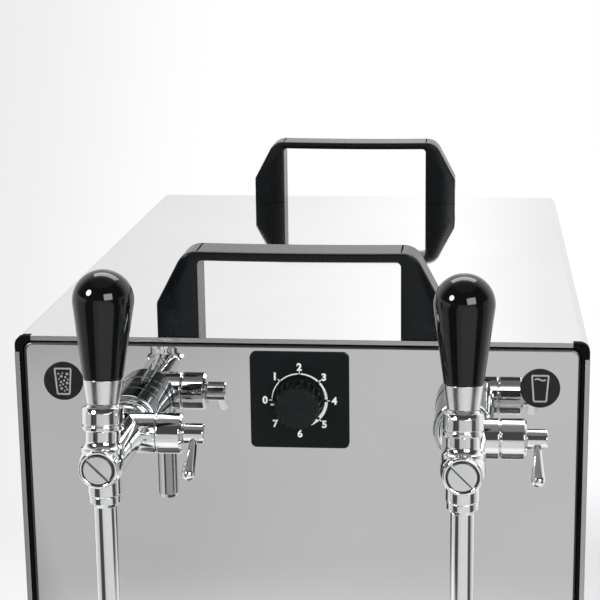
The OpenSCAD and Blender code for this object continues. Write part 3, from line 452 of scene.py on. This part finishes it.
class Print:
    """Thin raised shapes on one plane, gathered into one piece."""

    def __init__(self, centre, front):
        self.mesh = bmesh.new()
        self.centre = centre
        self.front = front

    def point(self, p, back):
        """A corner of the print, on its front or sunk a little into what it lies on."""
        y = self.front + (PRINT_SINK if back else -PRINT_T)
        return self.mesh.verts.new((self.centre.x + p[0] * MM, y, self.centre.z + p[1] * MM))

    def strip(self, points, widths, closed=False):
        """A band along a line, with one width for each point."""
        count = len(points)
        rows = []
        for i, (p, width) in enumerate(zip(points, widths)):
            before = points[i - 1] if closed or i else p
            after = points[(i + 1) % count] if closed or i < count - 1 else p
            along = Vector((after[0] - before[0], after[1] - before[1])).normalized()
            across = Vector((-along.y, along.x)) * width / 2
            sides = (Vector(p) + across, Vector(p) - across)
            rows.append([self.point(s, back) for back in (False, True) for s in sides])
        pairs = list(zip(rows, rows[1:])) + ([(rows[-1], rows[0])] if closed else [])
        for a, b in pairs:
            for i, j in ((0, 1), (1, 3), (3, 2), (2, 0)):
                self.mesh.faces.new((a[i], a[j], b[j], b[i]))
        if not closed:
            for end in (rows[0], rows[-1]):
                self.mesh.faces.new((end[0], end[1], end[3], end[2]))

    def disc(self, middle, radius, sides=20):
        """A round dot."""
        ring = [Vector(middle) + Vector(polar(radius, 360 * i / sides)) for i in range(sides)]
        front = [self.point(p, False) for p in ring]
        back = [self.point(p, True) for p in ring]
        self.mesh.faces.new(front)
        self.mesh.faces.new(back)
        for i in range(sides):
            j = (i + 1) % sides
            self.mesh.faces.new((front[i], front[j], back[j], back[i]))

    def digit(self, text, middle, height):
        """A number from the built-in font, made a little bolder."""
        curve = bpy.data.curves.new("digit", "FONT")
        curve.body = text
        curve.extrude = DIGIT_EXTRUDE
        curve.offset = BOLD_EXCEPTIONS.get(text, DIGIT_BOLD)
        holder = bpy.data.objects.new("digit", curve)
        scene.collection.objects.link(holder)
        graph = bpy.context.evaluated_depsgraph_get()
        glyph = bpy.data.meshes.new_from_object(holder.evaluated_get(graph))
        bpy.data.objects.remove(holder)
        xs = [v.co.x for v in glyph.vertices]
        ys = [v.co.y for v in glyph.vertices]
        scale = height / (max(ys) - min(ys))
        offset = Vector(((max(xs) + min(xs)) / 2, (max(ys) + min(ys)) / 2))
        made = []
        for v in glyph.vertices:
            flat = (Vector((v.co.x, v.co.y)) - offset) * scale + Vector(middle)
            made.append(self.point(flat, v.co.z < 0))
        for face in glyph.polygons:
            self.mesh.faces.new([made[i] for i in face.vertices])
        bpy.data.meshes.remove(glyph)

    def finish(self, name, material, body, slot):
        """Makes the gathered shapes one piece."""
        add_piece(name, self.mesh, material, body)


# Pieces and lines of points

SMOOTH_BELOW = 28


def add_piece(name, mesh, material, body):
    """Makes an object of a closed mesh, with a finish and a body to ride on."""
    bmesh.ops.recalc_face_normals(mesh, faces=mesh.faces)
    data = bpy.data.meshes.new(name)
    mesh.to_mesh(data)
    mesh.free()
    data.materials.append(materials[material])
    piece = bpy.data.objects.new(name, data)
    scene.collection.objects.link(piece)
    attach(piece, body)
    return piece


def close_rows(mesh, rows):
    """Quads between rings of points, and a face on each end."""
    for near, far in zip(rows, rows[1:]):
        for i in range(len(near)):
            j = (i + 1) % len(near)
            mesh.faces.new((near[i], near[j], far[j], far[i]))
    mesh.faces.new(rows[0])
    mesh.faces.new(rows[-1])


def smooth(piece):
    """Smooth shading between faces that meet at a small angle."""
    for face in piece.data.polygons:
        face.use_smooth = True
    piece.data.set_sharp_from_angle(angle=math.radians(SMOOTH_BELOW))


def polar(radius, degrees):
    """Point at a distance and an angle, in degrees."""
    return (radius * math.cos(math.radians(degrees)), radius * math.sin(math.radians(degrees)))


def rounded(corners, radius, steps=6):
    """Closed outline with each corner cut to an arc-like curve."""
    line = []
    for i, corner in enumerate(corners):
        here = Vector(corner)
        ends = [Vector(corners[i - 1]), Vector(corners[(i + 1) % len(corners)])]
        start, end = [here + (e - here).normalized() * radius for e in ends]
        for k in range(steps + 1):
            t = k / steps
            line.append(start * (1 - t) ** 2 + here * 2 * t * (1 - t) + end * t ** 2)
    return line


# Dial: ring that grows from 0 to 5, ticks and numbers

RING_R = 14.25
NUMBER_STEP = 45
RING_FROM, RING_TO, RING_TIP = 180, -45, -68
RING_PIECES, RING_TIP_SHARE = 16, 0.03
RING_WIDTHS = [(180, 0.5), (90, 0.7), (45, 1.0), (0, 1.45), (-45, 1.75)]
NUMBER_R, NUMBER_H = 17.5, 4.0
TICK_GAP, TICK_W, TICK_IN, TICK_OUT = 2.9, 0.5, 0.5, 1.1
NUMBER_ANGLES = {"0": 180, "1": 135, "2": 90, "3": 45, "4": 0, "5": -45, "6": -90, "7": -135}


def front_of(node):
    """Middle of a node's box, and the Y of its front face."""
    low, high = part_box(node)
    return (low + high) / 2, low.y


def ring_width(degrees):
    """Width of the ring at an angle, between the widths that are set."""
    for (a, start), (b, end) in zip(RING_WIDTHS, RING_WIDTHS[1:]):
        if degrees >= b:
            return start + (end - start) * min(max((a - degrees) / (a - b), 0), 1)
    return RING_WIDTHS[-1][1]


def ring_part(sign, start, end, widths):
    """A piece of the ring between two angles; widths gives its width at an angle."""
    angles = [start + (end - start) * i / RING_PIECES for i in range(RING_PIECES + 1)]
    sizes = [widths(a) for a in angles]
    sign.strip([polar(RING_R - w / 2, a) for a, w in zip(angles, sizes)], sizes)


def tip_width(degrees):
    """Width of the ring past its last number, where it runs out to a point."""
    share = (degrees - RING_TIP) / (RING_TO - RING_TIP)
    return ring_width(RING_TO) * max(share, RING_TIP_SHARE)


def add_dial_print():
    """Ring, ticks and numbers of the dial."""
    sign = Print(*front_of("dial_plate"))
    for start in range(RING_FROM, RING_TO, -NUMBER_STEP):
        ring_part(sign, start - TICK_GAP, start - NUMBER_STEP + TICK_GAP, ring_width)
    ring_part(sign, RING_TO - TICK_GAP, RING_TIP, tip_width)
    for text, angle in NUMBER_ANGLES.items():
        sign.digit(text, polar(NUMBER_R, angle), NUMBER_H)
        if angle >= RING_TO:
            ends = (RING_R - TICK_IN, RING_R + TICK_OUT)
            sign.strip([polar(r, angle) for r in ends], [TICK_W, TICK_W])
    sign.finish("dial_print", "print_white", "case", "dial_black")


# Knob: rib on its side with a white front end for a pointer, and a low ridge across its face

POINTER_ANGLE = 181
POINTER_FROM, POINTER_TO, POINTER_W = 3.0 * MM, 1.5 * MM, 0.85 * MM
POINTER_MARK, POINTER_T, POINTER_SINK = 1.9 * MM, 0.5 * MM, 0.1 * MM
POINTER_LIFT = 6.8 * MM
RIDGE_W, RIDGE_H, RIDGE_SINK, RIDGE_FROM_RIM = 1.1 * MM, 0.12 * MM, 0.24 * MM, 2.6 * MM
BLOCK_LAYERS = ((0, 0.12), (0.3, 0.0), (1, 0.0))


def add_block(name, corner, sides, material, body):
    """A small block with a slightly narrower front, from one corner along three edges."""
    wide, high, deep = sides
    mesh = bmesh.new()
    rings = []
    for share, inset in BLOCK_LAYERS:
        base = corner + deep * share
        ends = ((inset, inset), (1 - inset, inset), (1 - inset, 1 - inset), (inset, 1 - inset))
        rings.append([mesh.verts.new(base + wide * a + high * b) for a, b in ends])
    close_rows(mesh, rings)
    add_piece(name, mesh, material, body)


def add_knob_details():
    """Pointer rib, white pointer end and ridge, all on the knob's body."""
    low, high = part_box("thermostat_knob")
    plate_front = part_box("dial_plate")[0].y
    axis = Vector(((low.x + high.x) / 2, 0, (low.z + high.z) / 2))
    radius = (high.x - low.x) / 2
    turn = math.radians(POINTER_ANGLE)
    out = Vector((math.cos(turn), 0, math.sin(turn)))
    side = Vector((-math.sin(turn), 0, math.cos(turn)))
    back = Vector((0, 1, 0))

    front = plate_front - POINTER_LIFT
    corner = axis - side * POINTER_W / 2
    start = corner + out * (radius - POINTER_FROM) + back * front
    edges = (out * (POINTER_FROM + POINTER_TO), side * POINTER_W, back * (high.y - front))
    add_block("knob_rib", start, edges, "knob_black", "knob")
    start = corner + out * (radius + POINTER_TO - POINTER_MARK) + back * (front - POINTER_T)
    edges = (out * POINTER_MARK, side * POINTER_W, back * (POINTER_T + POINTER_SINK))
    add_block("knob_pointer", start, edges, "print_white", "knob")

    half = radius - RIDGE_FROM_RIM
    start = axis - out * half - side * RIDGE_W / 2 + back * (low.y - RIDGE_H)
    edges = (out * 2 * half, side * RIDGE_W, back * (RIDGE_H + RIDGE_SINK))
    add_block("knob_ridge", start, edges, "knob_black", "knob")


# Carry handles: one outline, in X and height, taken through the depth with rounded edges and cap pockets

HANDLE_HALF, HANDLE_GAP, HANDLE_H, HANDLE_DEPTH = 71.85, 50.8, 44.0, 22.9
HANDLE_FORWARD = 0.75
BAR_LOW, BAR_SAG = 39.3, 0.4
SHOULDER_X, SHOULDER_Z = 57.8, 17.5
CORNER_R, SIDE_R, OPENING_R, HANDLE_EDGE = 10.5, 4.0, 2.5, 1.2
CAP_X, CAP_LOW, CAP_HALF, CAP_T, CAP_SEAM = 50.65, 10.0, 9.2, 1.2, 0.3
CAP_STEP = 0.05
BAR_STATIONS = (0, 8, 16, 24, 32, 40)
EDGE_TURNS = (0, 30, 60, 90)
OPENING_STEPS = 6
WELD = 0.001 * MM
HANDLES = (("front_carry_handle", False), ("rear_carry_handle", True))


def fillet(before, corner, after, radius, steps=9):
    """Points of the arc that rounds a corner between two straight lines."""
    before, corner, after = Vector(before), Vector(corner), Vector(after)
    u, v = (before - corner).normalized(), (after - corner).normalized()
    half = u.angle(v) / 2
    centre = corner + (u + v).normalized() * radius / math.sin(half)
    start = corner + u * radius / math.tan(half) - centre
    end = corner + v * radius / math.tan(half) - centre
    sweep = start.angle(end)
    points = []
    for k in range(steps + 1):
        t = k / steps
        along = start * math.sin((1 - t) * sweep) + end * math.sin(t * sweep)
        points.append(centre + along / math.sin(sweep))
    return points


def sagged(point):
    """The bar hangs a little lower in its middle."""
    if point.y > SHOULDER_Z and abs(point.x) < HANDLE_GAP:
        return Vector((point.x, point.y - BAR_SAG * (1 - (point.x / HANDLE_GAP) ** 2)))
    return point


def handle_side():
    """Right half of the outline, from the top to the bar's underside, as points with cap marks."""
    top = (SHOULDER_X, HANDLE_H)
    shoulder = (HANDLE_HALF, SHOULDER_Z)
    open_ = [(x, HANDLE_H) for x in BAR_STATIONS] + [(CAP_X - CAP_STEP, HANDLE_H)]
    capped = [(CAP_X, HANDLE_H)]
    capped += fillet((0, HANDLE_H), top, shoulder, CORNER_R)
    capped += fillet(top, shoulder, (HANDLE_HALF, 0), SIDE_R)
    capped += [(HANDLE_HALF, CAP_LOW)]
    leg = [(HANDLE_HALF, CAP_LOW - CAP_STEP), (HANDLE_HALF, 0), (HANDLE_GAP, 0)]
    leg += fillet((HANDLE_GAP, 0), (HANDLE_GAP, BAR_LOW), (0, BAR_LOW), OPENING_R, OPENING_STEPS)
    leg += [(x, BAR_LOW) for x in reversed(BAR_STATIONS)]
    marked = [(p, False) for p in open_] + [(p, True) for p in capped] + [(p, False) for p in leg]
    return [(sagged(Vector(p)), cap) for p, cap in marked]


def handle_outline():
    """Whole outline as points, outward directions and cap marks."""
    right = handle_side()
    left = [(Vector((-p.x, p.y)), cap) for p, cap in reversed(right[1:-1])]
    loop = right + left
    outward = []
    for i, (p, _) in enumerate(loop):
        along = loop[(i + 1) % len(loop)][0] - loop[i - 1][0]
        out = Vector((-along.y, along.x)).normalized()
        outward.append(Vector((math.copysign(1, out.x), 0)) if p.y == 0 else out)
    return [p for p, _ in loop], outward, [cap for _, cap in loop]


def handle_layers():
    """Depth, edge inset and pocket depth of each layer from the front to the back."""
    edge = [(HANDLE_EDGE * (1 - math.cos(t)), HANDLE_EDGE * (1 - math.sin(t)), 0)
            for t in (math.radians(a) for a in EDGE_TURNS)]
    pocket = HANDLE_DEPTH / 2 - CAP_HALF - CAP_SEAM
    deep = CAP_T + CAP_SEAM
    near = edge + [(pocket, 0, 0), (pocket, 0, deep)]
    return near + [(HANDLE_DEPTH - y, inset, depth) for y, inset, depth in reversed(near)]


def handle_place(node, back):
    """Function from an outline point and a depth to a place on the case."""
    low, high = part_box(node)
    start, way = (low.y + HANDLE_DEPTH * MM, -1) if back else (low.y - HANDLE_FORWARD * MM, 1)
    middle = (low.x + high.x) / 2
    return lambda p, y: Vector((middle + p.x * MM, start + way * y * MM, low.z + p.y * MM))


def add_handle(node, back):
    """A carry handle in place of its node."""
    place = handle_place(node, back)
    points, outward, capped = handle_outline()
    mesh = bmesh.new()
    rows = []
    for y, inset, pocket in handle_layers():
        sink = [inset + (pocket if cap else 0) for cap in capped]
        rows.append([mesh.verts.new(place(p - out * d, y)) for p, out, d in zip(points, outward, sink)])
    close_rows(mesh, rows)
    bmesh.ops.remove_doubles(mesh, verts=mesh.verts, dist=WELD)
    piece = add_piece(node + "_form", mesh, "black_plastic", "case")
    smooth(piece)
    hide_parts(node)


def add_handle_caps():
    """The inlaid strips of both handles in place of their node, a seam clear of their pockets."""
    points, outward, capped = handle_outline()
    strips = [[], []]
    for p, out, cap in zip(points, outward, capped):
        if cap and abs(p.x) > CAP_X + CAP_SEAM / 2 and p.y > CAP_LOW + CAP_SEAM / 2:
            strips[p.x > 0].append((p, out))
    mesh = bmesh.new()
    for node, back in HANDLES:
        place = handle_place(node, back)
        for strip in strips:
            rows = []
            for p, out in strip:
                low = p - out * CAP_T
                sides = ((p, -CAP_HALF), (p, CAP_HALF), (low, CAP_HALF), (low, -CAP_HALF))
                rows.append([mesh.verts.new(place(q, HANDLE_DEPTH / 2 + y)) for q, y in sides])
            close_rows(mesh, rows)
    piece = add_piece("handle_cap_strips", mesh, "black_plastic", "case")
    smooth(piece)
    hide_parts("handle_caps")


# Flow levers: a stouter tapered arm with a round end, fitted over the arm of each flow lever

FLOW_HUB_LEN, CORE_TIP_R = 10.0, 3.0
ARM_FROM, ARM_STRAIGHT, ARM_LEN, ARM_ROOT_R, ARM_TIP_R = 3.0, 5.5, 27.5, 1.9, 3.3
ARM_SIDES, ARM_ROUND, ARM_ROUND_TO = 28, 7, 88


def arm_profile():
    """Distance from the hinge axis and radius of each ring of the arm."""
    rounding = [math.radians(ARM_ROUND_TO * i / ARM_ROUND) for i in range(ARM_ROUND + 1)]
    start = ARM_LEN - ARM_TIP_R
    tip = [(start + ARM_TIP_R * math.sin(a), ARM_TIP_R * math.cos(a)) for a in rounding]
    return [(ARM_FROM, ARM_ROOT_R), (ARM_STRAIGHT, ARM_ROOT_R)] + tip


def add_flow_arm(tap):
    """The arm of one tap's flow lever, on the line from its hinge to the tip of the arm inside."""
    low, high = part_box(tap + "_flow_lever")
    joints = {joint["name"]: joint for joint in frame["record"]["behaviour"]["joints"]}
    axis = Vector(joints[tap + "_flow_turn"]["pos_m"])
    axis.x = high.x - FLOW_HUB_LEN / 2 * MM
    core_tip = Vector((axis.x, low.y + CORE_TIP_R * MM, low.z + CORE_TIP_R * MM))
    along = (core_tip - axis).normalized()
    across = Vector((1, 0, 0))
    other = along.cross(across)
    mesh = bmesh.new()
    rows = []
    for reach, radius in arm_profile():
        turns = [2 * math.pi * i / ARM_SIDES for i in range(ARM_SIDES)]
        ring = [across * math.cos(a) + other * math.sin(a) for a in turns]
        rows.append([mesh.verts.new(axis + (along * reach + way * radius) * MM) for way in ring])
    close_rows(mesh, rows)
    piece = add_piece(tap + "_flow_arm", mesh, "chrome", tap + "_flow_control")
    smooth(piece)


# Badges: a glass with bubbles for sparkling water, a glass with a calm surface for still water

GLASS_TOP, GLASS_FOOT, GLASS_H, GLASS_LINE, GLASS_R = 8.3, 6.2, 13.4, 0.85, 0.7
WAVE_HALF, WAVE_DOWN, WAVE_H, WAVE_LINE, WAVE_STEPS = 2.7, 2.1, 0.42, 0.75, 24
BUBBLES = [
    (-2.3, 4.0, 0.5), (-0.2, 4.2, 0.45), (2.1, 3.9, 0.72), (-0.9, 2.6, 0.7), (1.2, 2.2, 0.55),
    (-2.1, 1.2, 0.42), (2.4, 1.0, 0.42), (0.5, 0.4, 0.55), (-1.1, -0.4, 0.6), (2.0, -0.9, 0.65),
    (0.0, -1.6, 0.5), (-1.6, -2.2, 0.48), (1.3, -2.9, 0.52), (-0.9, -3.8, 0.66), (1.9, -4.3, 0.48),
    (0.6, -5.0, 0.42),
]


def add_badge_print(node, name, bubbles):
    """A glass on a badge, with bubbles or with a calm surface."""
    sign = Print(*front_of(node))
    half_top, half_foot, half_h = GLASS_TOP / 2, GLASS_FOOT / 2, GLASS_H / 2
    corners = ((-half_top, half_h), (half_top, half_h), (half_foot, -half_h), (-half_foot, -half_h))
    outline = rounded(corners, GLASS_R)
    sign.strip(outline, [GLASS_LINE] * len(outline), closed=True)
    if bubbles:
        for x, z, radius in BUBBLES:
            sign.disc((x, z), radius)
    else:
        wave = []
        for i in range(WAVE_STEPS + 1):
            share = i / WAVE_STEPS
            height = half_h - WAVE_DOWN + WAVE_H * math.sin(2 * math.pi * share)
            wave.append((WAVE_HALF * (2 * share - 1), height))
        sign.strip(wave, [WAVE_LINE] * len(wave))
    sign.finish(name, "print_grey", "case", "dial_black")


# Stage: floor, world and lamps. A pair in a name that ends in SPAN is where a soft change starts and ends

FLOOR_SIZE, FLOOR_CELLS = 60.0, 8
FLOOR_FAR_SPAN = (0.5, 0.8)
FLOOR_COLOUR = (0.82, 0.82, 0.82, 1)
FLOOR_BEHIND = 0.95
FLOOR_BEHIND_SPAN = (-0.3, 0.3)
FLOOR_RIGHT, FLOOR_LEFT_NEAR, FLOOR_LEFT_FAR = 0.76, 0.68, 0.55
FLOOR_RIGHT_SPAN, FLOOR_LEFT_SPAN = (-0.3, 0.02), (1.3, 1.7)
FLOOR_SHADES = [
    (0.0, 1.0), (0.34, 1.0), (0.355, 0.1), (0.425, 0.1), (0.44, 1.0), (0.62, 1.0), (0.635, 0.1),
    (0.685, 0.1), (0.7, 0.6), (1.0, 1.0),
]
PALE_LEFT, PALE_RIGHT = 0.86, 1.0
PALE_SPAN, PALE_POINT = (-0.28, -0.14), 0.94
FRONT_SHADES = [
    (0.0, 0.9), (0.345, 0.9), (0.362, 0.08), (0.43, 0.08), (0.447, 0.62), (0.605, 0.7),
    (0.622, 0.08), (0.70, 0.08), (0.715, 0.5), (1.0, 0.9),
]
FRONT_ABOVE, FRONT_TOP = 0.065, 0.22
FRONT_ABOVE_SPAN, FRONT_TOP_SPAN = (0.12, 0.22), (0.8, 0.9)
WALL_SHADES = [
    (0.0, 0.7), (0.27, 0.72), (0.36, 0.79), (0.4, 0.83), (0.48, 0.96), (0.545, 0.79), (1.0, 0.76),
]
WALL_LIGHT, WALL_LOW_SHARE, WALL_LEAST_DEPTH = 1.5, 0.9, 0.01
WALL_LIFT_SPAN, WALL_SPAN = (0.15, 0.27), (0.04, 0.6)
WHITE = (1, 1, 1, 1)
AIM, LAMP_DISTANCE = Vector((0, -0.2, 0.42)), 1.5
LAMPS = (
    ("round_lamp", "DISK", (-0.69, -0.52, 0.5), (0.5, 0.5), 30),
    ("side_lamp", "RECTANGLE", (0.47, -0.79, 0.39), (0.85, 0.6), 7.5),
    ("top_lamp", "RECTANGLE", (0.0, 0.56, 0.83), (1.5, 0.6), 5),
)


def add_floor():
    """Pale floor that takes the object's shadow near it and glows further out, with painted shade in that
    glow.
    """
    mesh = bmesh.new()
    bmesh.ops.create_grid(mesh, x_segments=FLOOR_CELLS, y_segments=FLOOR_CELLS, size=FLOOR_SIZE / 2)
    data = bpy.data.meshes.new("floor")
    mesh.to_mesh(data)
    mesh.free()
    floor = bpy.data.objects.new("floor", data)
    scene.collection.objects.link(floor)

    m = Material("floor", Specular_IOR_Level=0.1, Base_Color=FLOOR_COLOUR)
    m.gloss(0.7, 0.85, 30)
    place = m.split(m.add("NewGeometry").outputs["Position"])
    x, y = place["X"], place["Y"]
    path = m.add("LightPath").outputs
    reach = m.math("SQRT", m.math("ADD", m.math("MULTIPLY", x, x), m.math("MULTIPLY", y, y)))
    far = m.step(reach, *FLOOR_FAR_SPAN)

    # To the camera the far floor glows white, with painted shade that makes it a little darker to the left
    # of a point in front of the part
    aside = m.math("DIVIDE", x, m.math("ADD", y, PALE_POINT))
    pale = m.step(aside, *PALE_SPAN, PALE_LEFT, PALE_RIGHT)

    # In reflections the glow is painted darker in front, with dark bands painted in for the dark screens
    # of a studio
    bearing = m.bearing(x, y)
    left = m.step(reach, *FLOOR_LEFT_SPAN, FLOOR_LEFT_NEAR, FLOOR_LEFT_FAR)
    shades = m.ramp(m.turn_share(bearing), FLOOR_SHADES)
    sides = m.step(bearing, *FLOOR_RIGHT_SPAN, left, FLOOR_RIGHT)
    front = m.math("MULTIPLY", sides, shades)
    mirrored = m.mix(m.step(y, *FLOOR_BEHIND_SPAN), front, FLOOR_BEHIND)

    shown = m.mix(path["Is Camera Ray"], mirrored, pale)
    glow = m.add("Emission", {"Color": WHITE, "Strength": shown}).outputs["Emission"]
    seen = m.math("MAXIMUM", path["Is Camera Ray"], path["Is Glossy Ray"])
    seen = m.math("MAXIMUM", seen, path["Is Transmission Ray"])
    blend = m.add("MixShader", {0: m.math("MULTIPLY", seen, far), 1: m.shader.outputs["BSDF"], 2: glow})
    m.put(m.nodes["Material Output"].inputs["Surface"], blend.outputs["Shader"])
    data.materials.append(m.data)


def add_world():
    """White to the camera; in reflections a studio in front and a bright wall behind."""
    world = bpy.data.worlds.new("world")
    scene.world = world
    world.use_nodes = True
    t = Tree(world.node_tree)
    way = t.split(t.add("TexCoord").outputs["Generated"])

    # In front a studio with dark screens, darker above
    screens = t.ramp(t.turn_share(t.bearing(way["X"], way["Y"])), FRONT_SHADES)
    low = t.step(way["Z"], *FRONT_ABOVE_SPAN, 1.0, 0.0)
    high = t.step(way["Z"], *FRONT_TOP_SPAN, FRONT_ABOVE, FRONT_TOP)
    front = t.mix(low, high, screens)

    # Behind a bright wall, which the top of the case mirrors
    depth = t.math("MAXIMUM", way["Y"], WALL_LEAST_DEPTH)
    aside = t.math("ADD", t.math("DIVIDE", way["X"], depth), 0.5, clamp=True)
    lift = t.step(way["Z"], *WALL_LIFT_SPAN, WALL_LOW_SHARE * WALL_LIGHT, WALL_LIGHT)
    wall = t.math("MULTIPLY", t.ramp(aside, WALL_SHADES), lift)
    light = t.mix(t.step(way["Y"], *WALL_SPAN), front, wall)

    path = t.add("LightPath").outputs
    strength = t.mix(path["Is Camera Ray"], light, 1.0)
    t.put(t.nodes["Background"].inputs["Strength"], strength)
    t.put(t.nodes["Background"].inputs["Color"], WHITE)


def add_lamp(name, shape, way, size, radiance):
    """An area lamp in a direction from the taps, facing them."""
    data = bpy.data.lights.new(name, "AREA")
    data.shape = shape
    data.size, data.size_y = size
    area = size[0] * size[1] * (math.pi / 4 if shape == "DISK" else 1.0)
    data.energy = radiance * area * math.pi
    lamp = bpy.data.objects.new(name, data)
    scene.collection.objects.link(lamp)
    out = Vector(way).normalized()
    turn = out.to_track_quat("Z", "Y").to_matrix().to_4x4()
    lamp.matrix_world = Matrix.Translation(AIM + out * LAMP_DISTANCE) @ turn
    lamp.visible_camera = False


add_camera()
dress_nodes()
for handle, back in HANDLES:
    add_handle(handle, back)
add_handle_caps()
for tap in ("sparkling", "still"):
    add_flow_arm(tap)
add_dial_print()
add_knob_details()
add_badge_print("sparkling_badge", "sparkling_print", bubbles=True)
add_badge_print("still_badge", "still_print", bubbles=False)
add_floor()
add_world()
for lamp in LAMPS:
    add_lamp(*lamp)
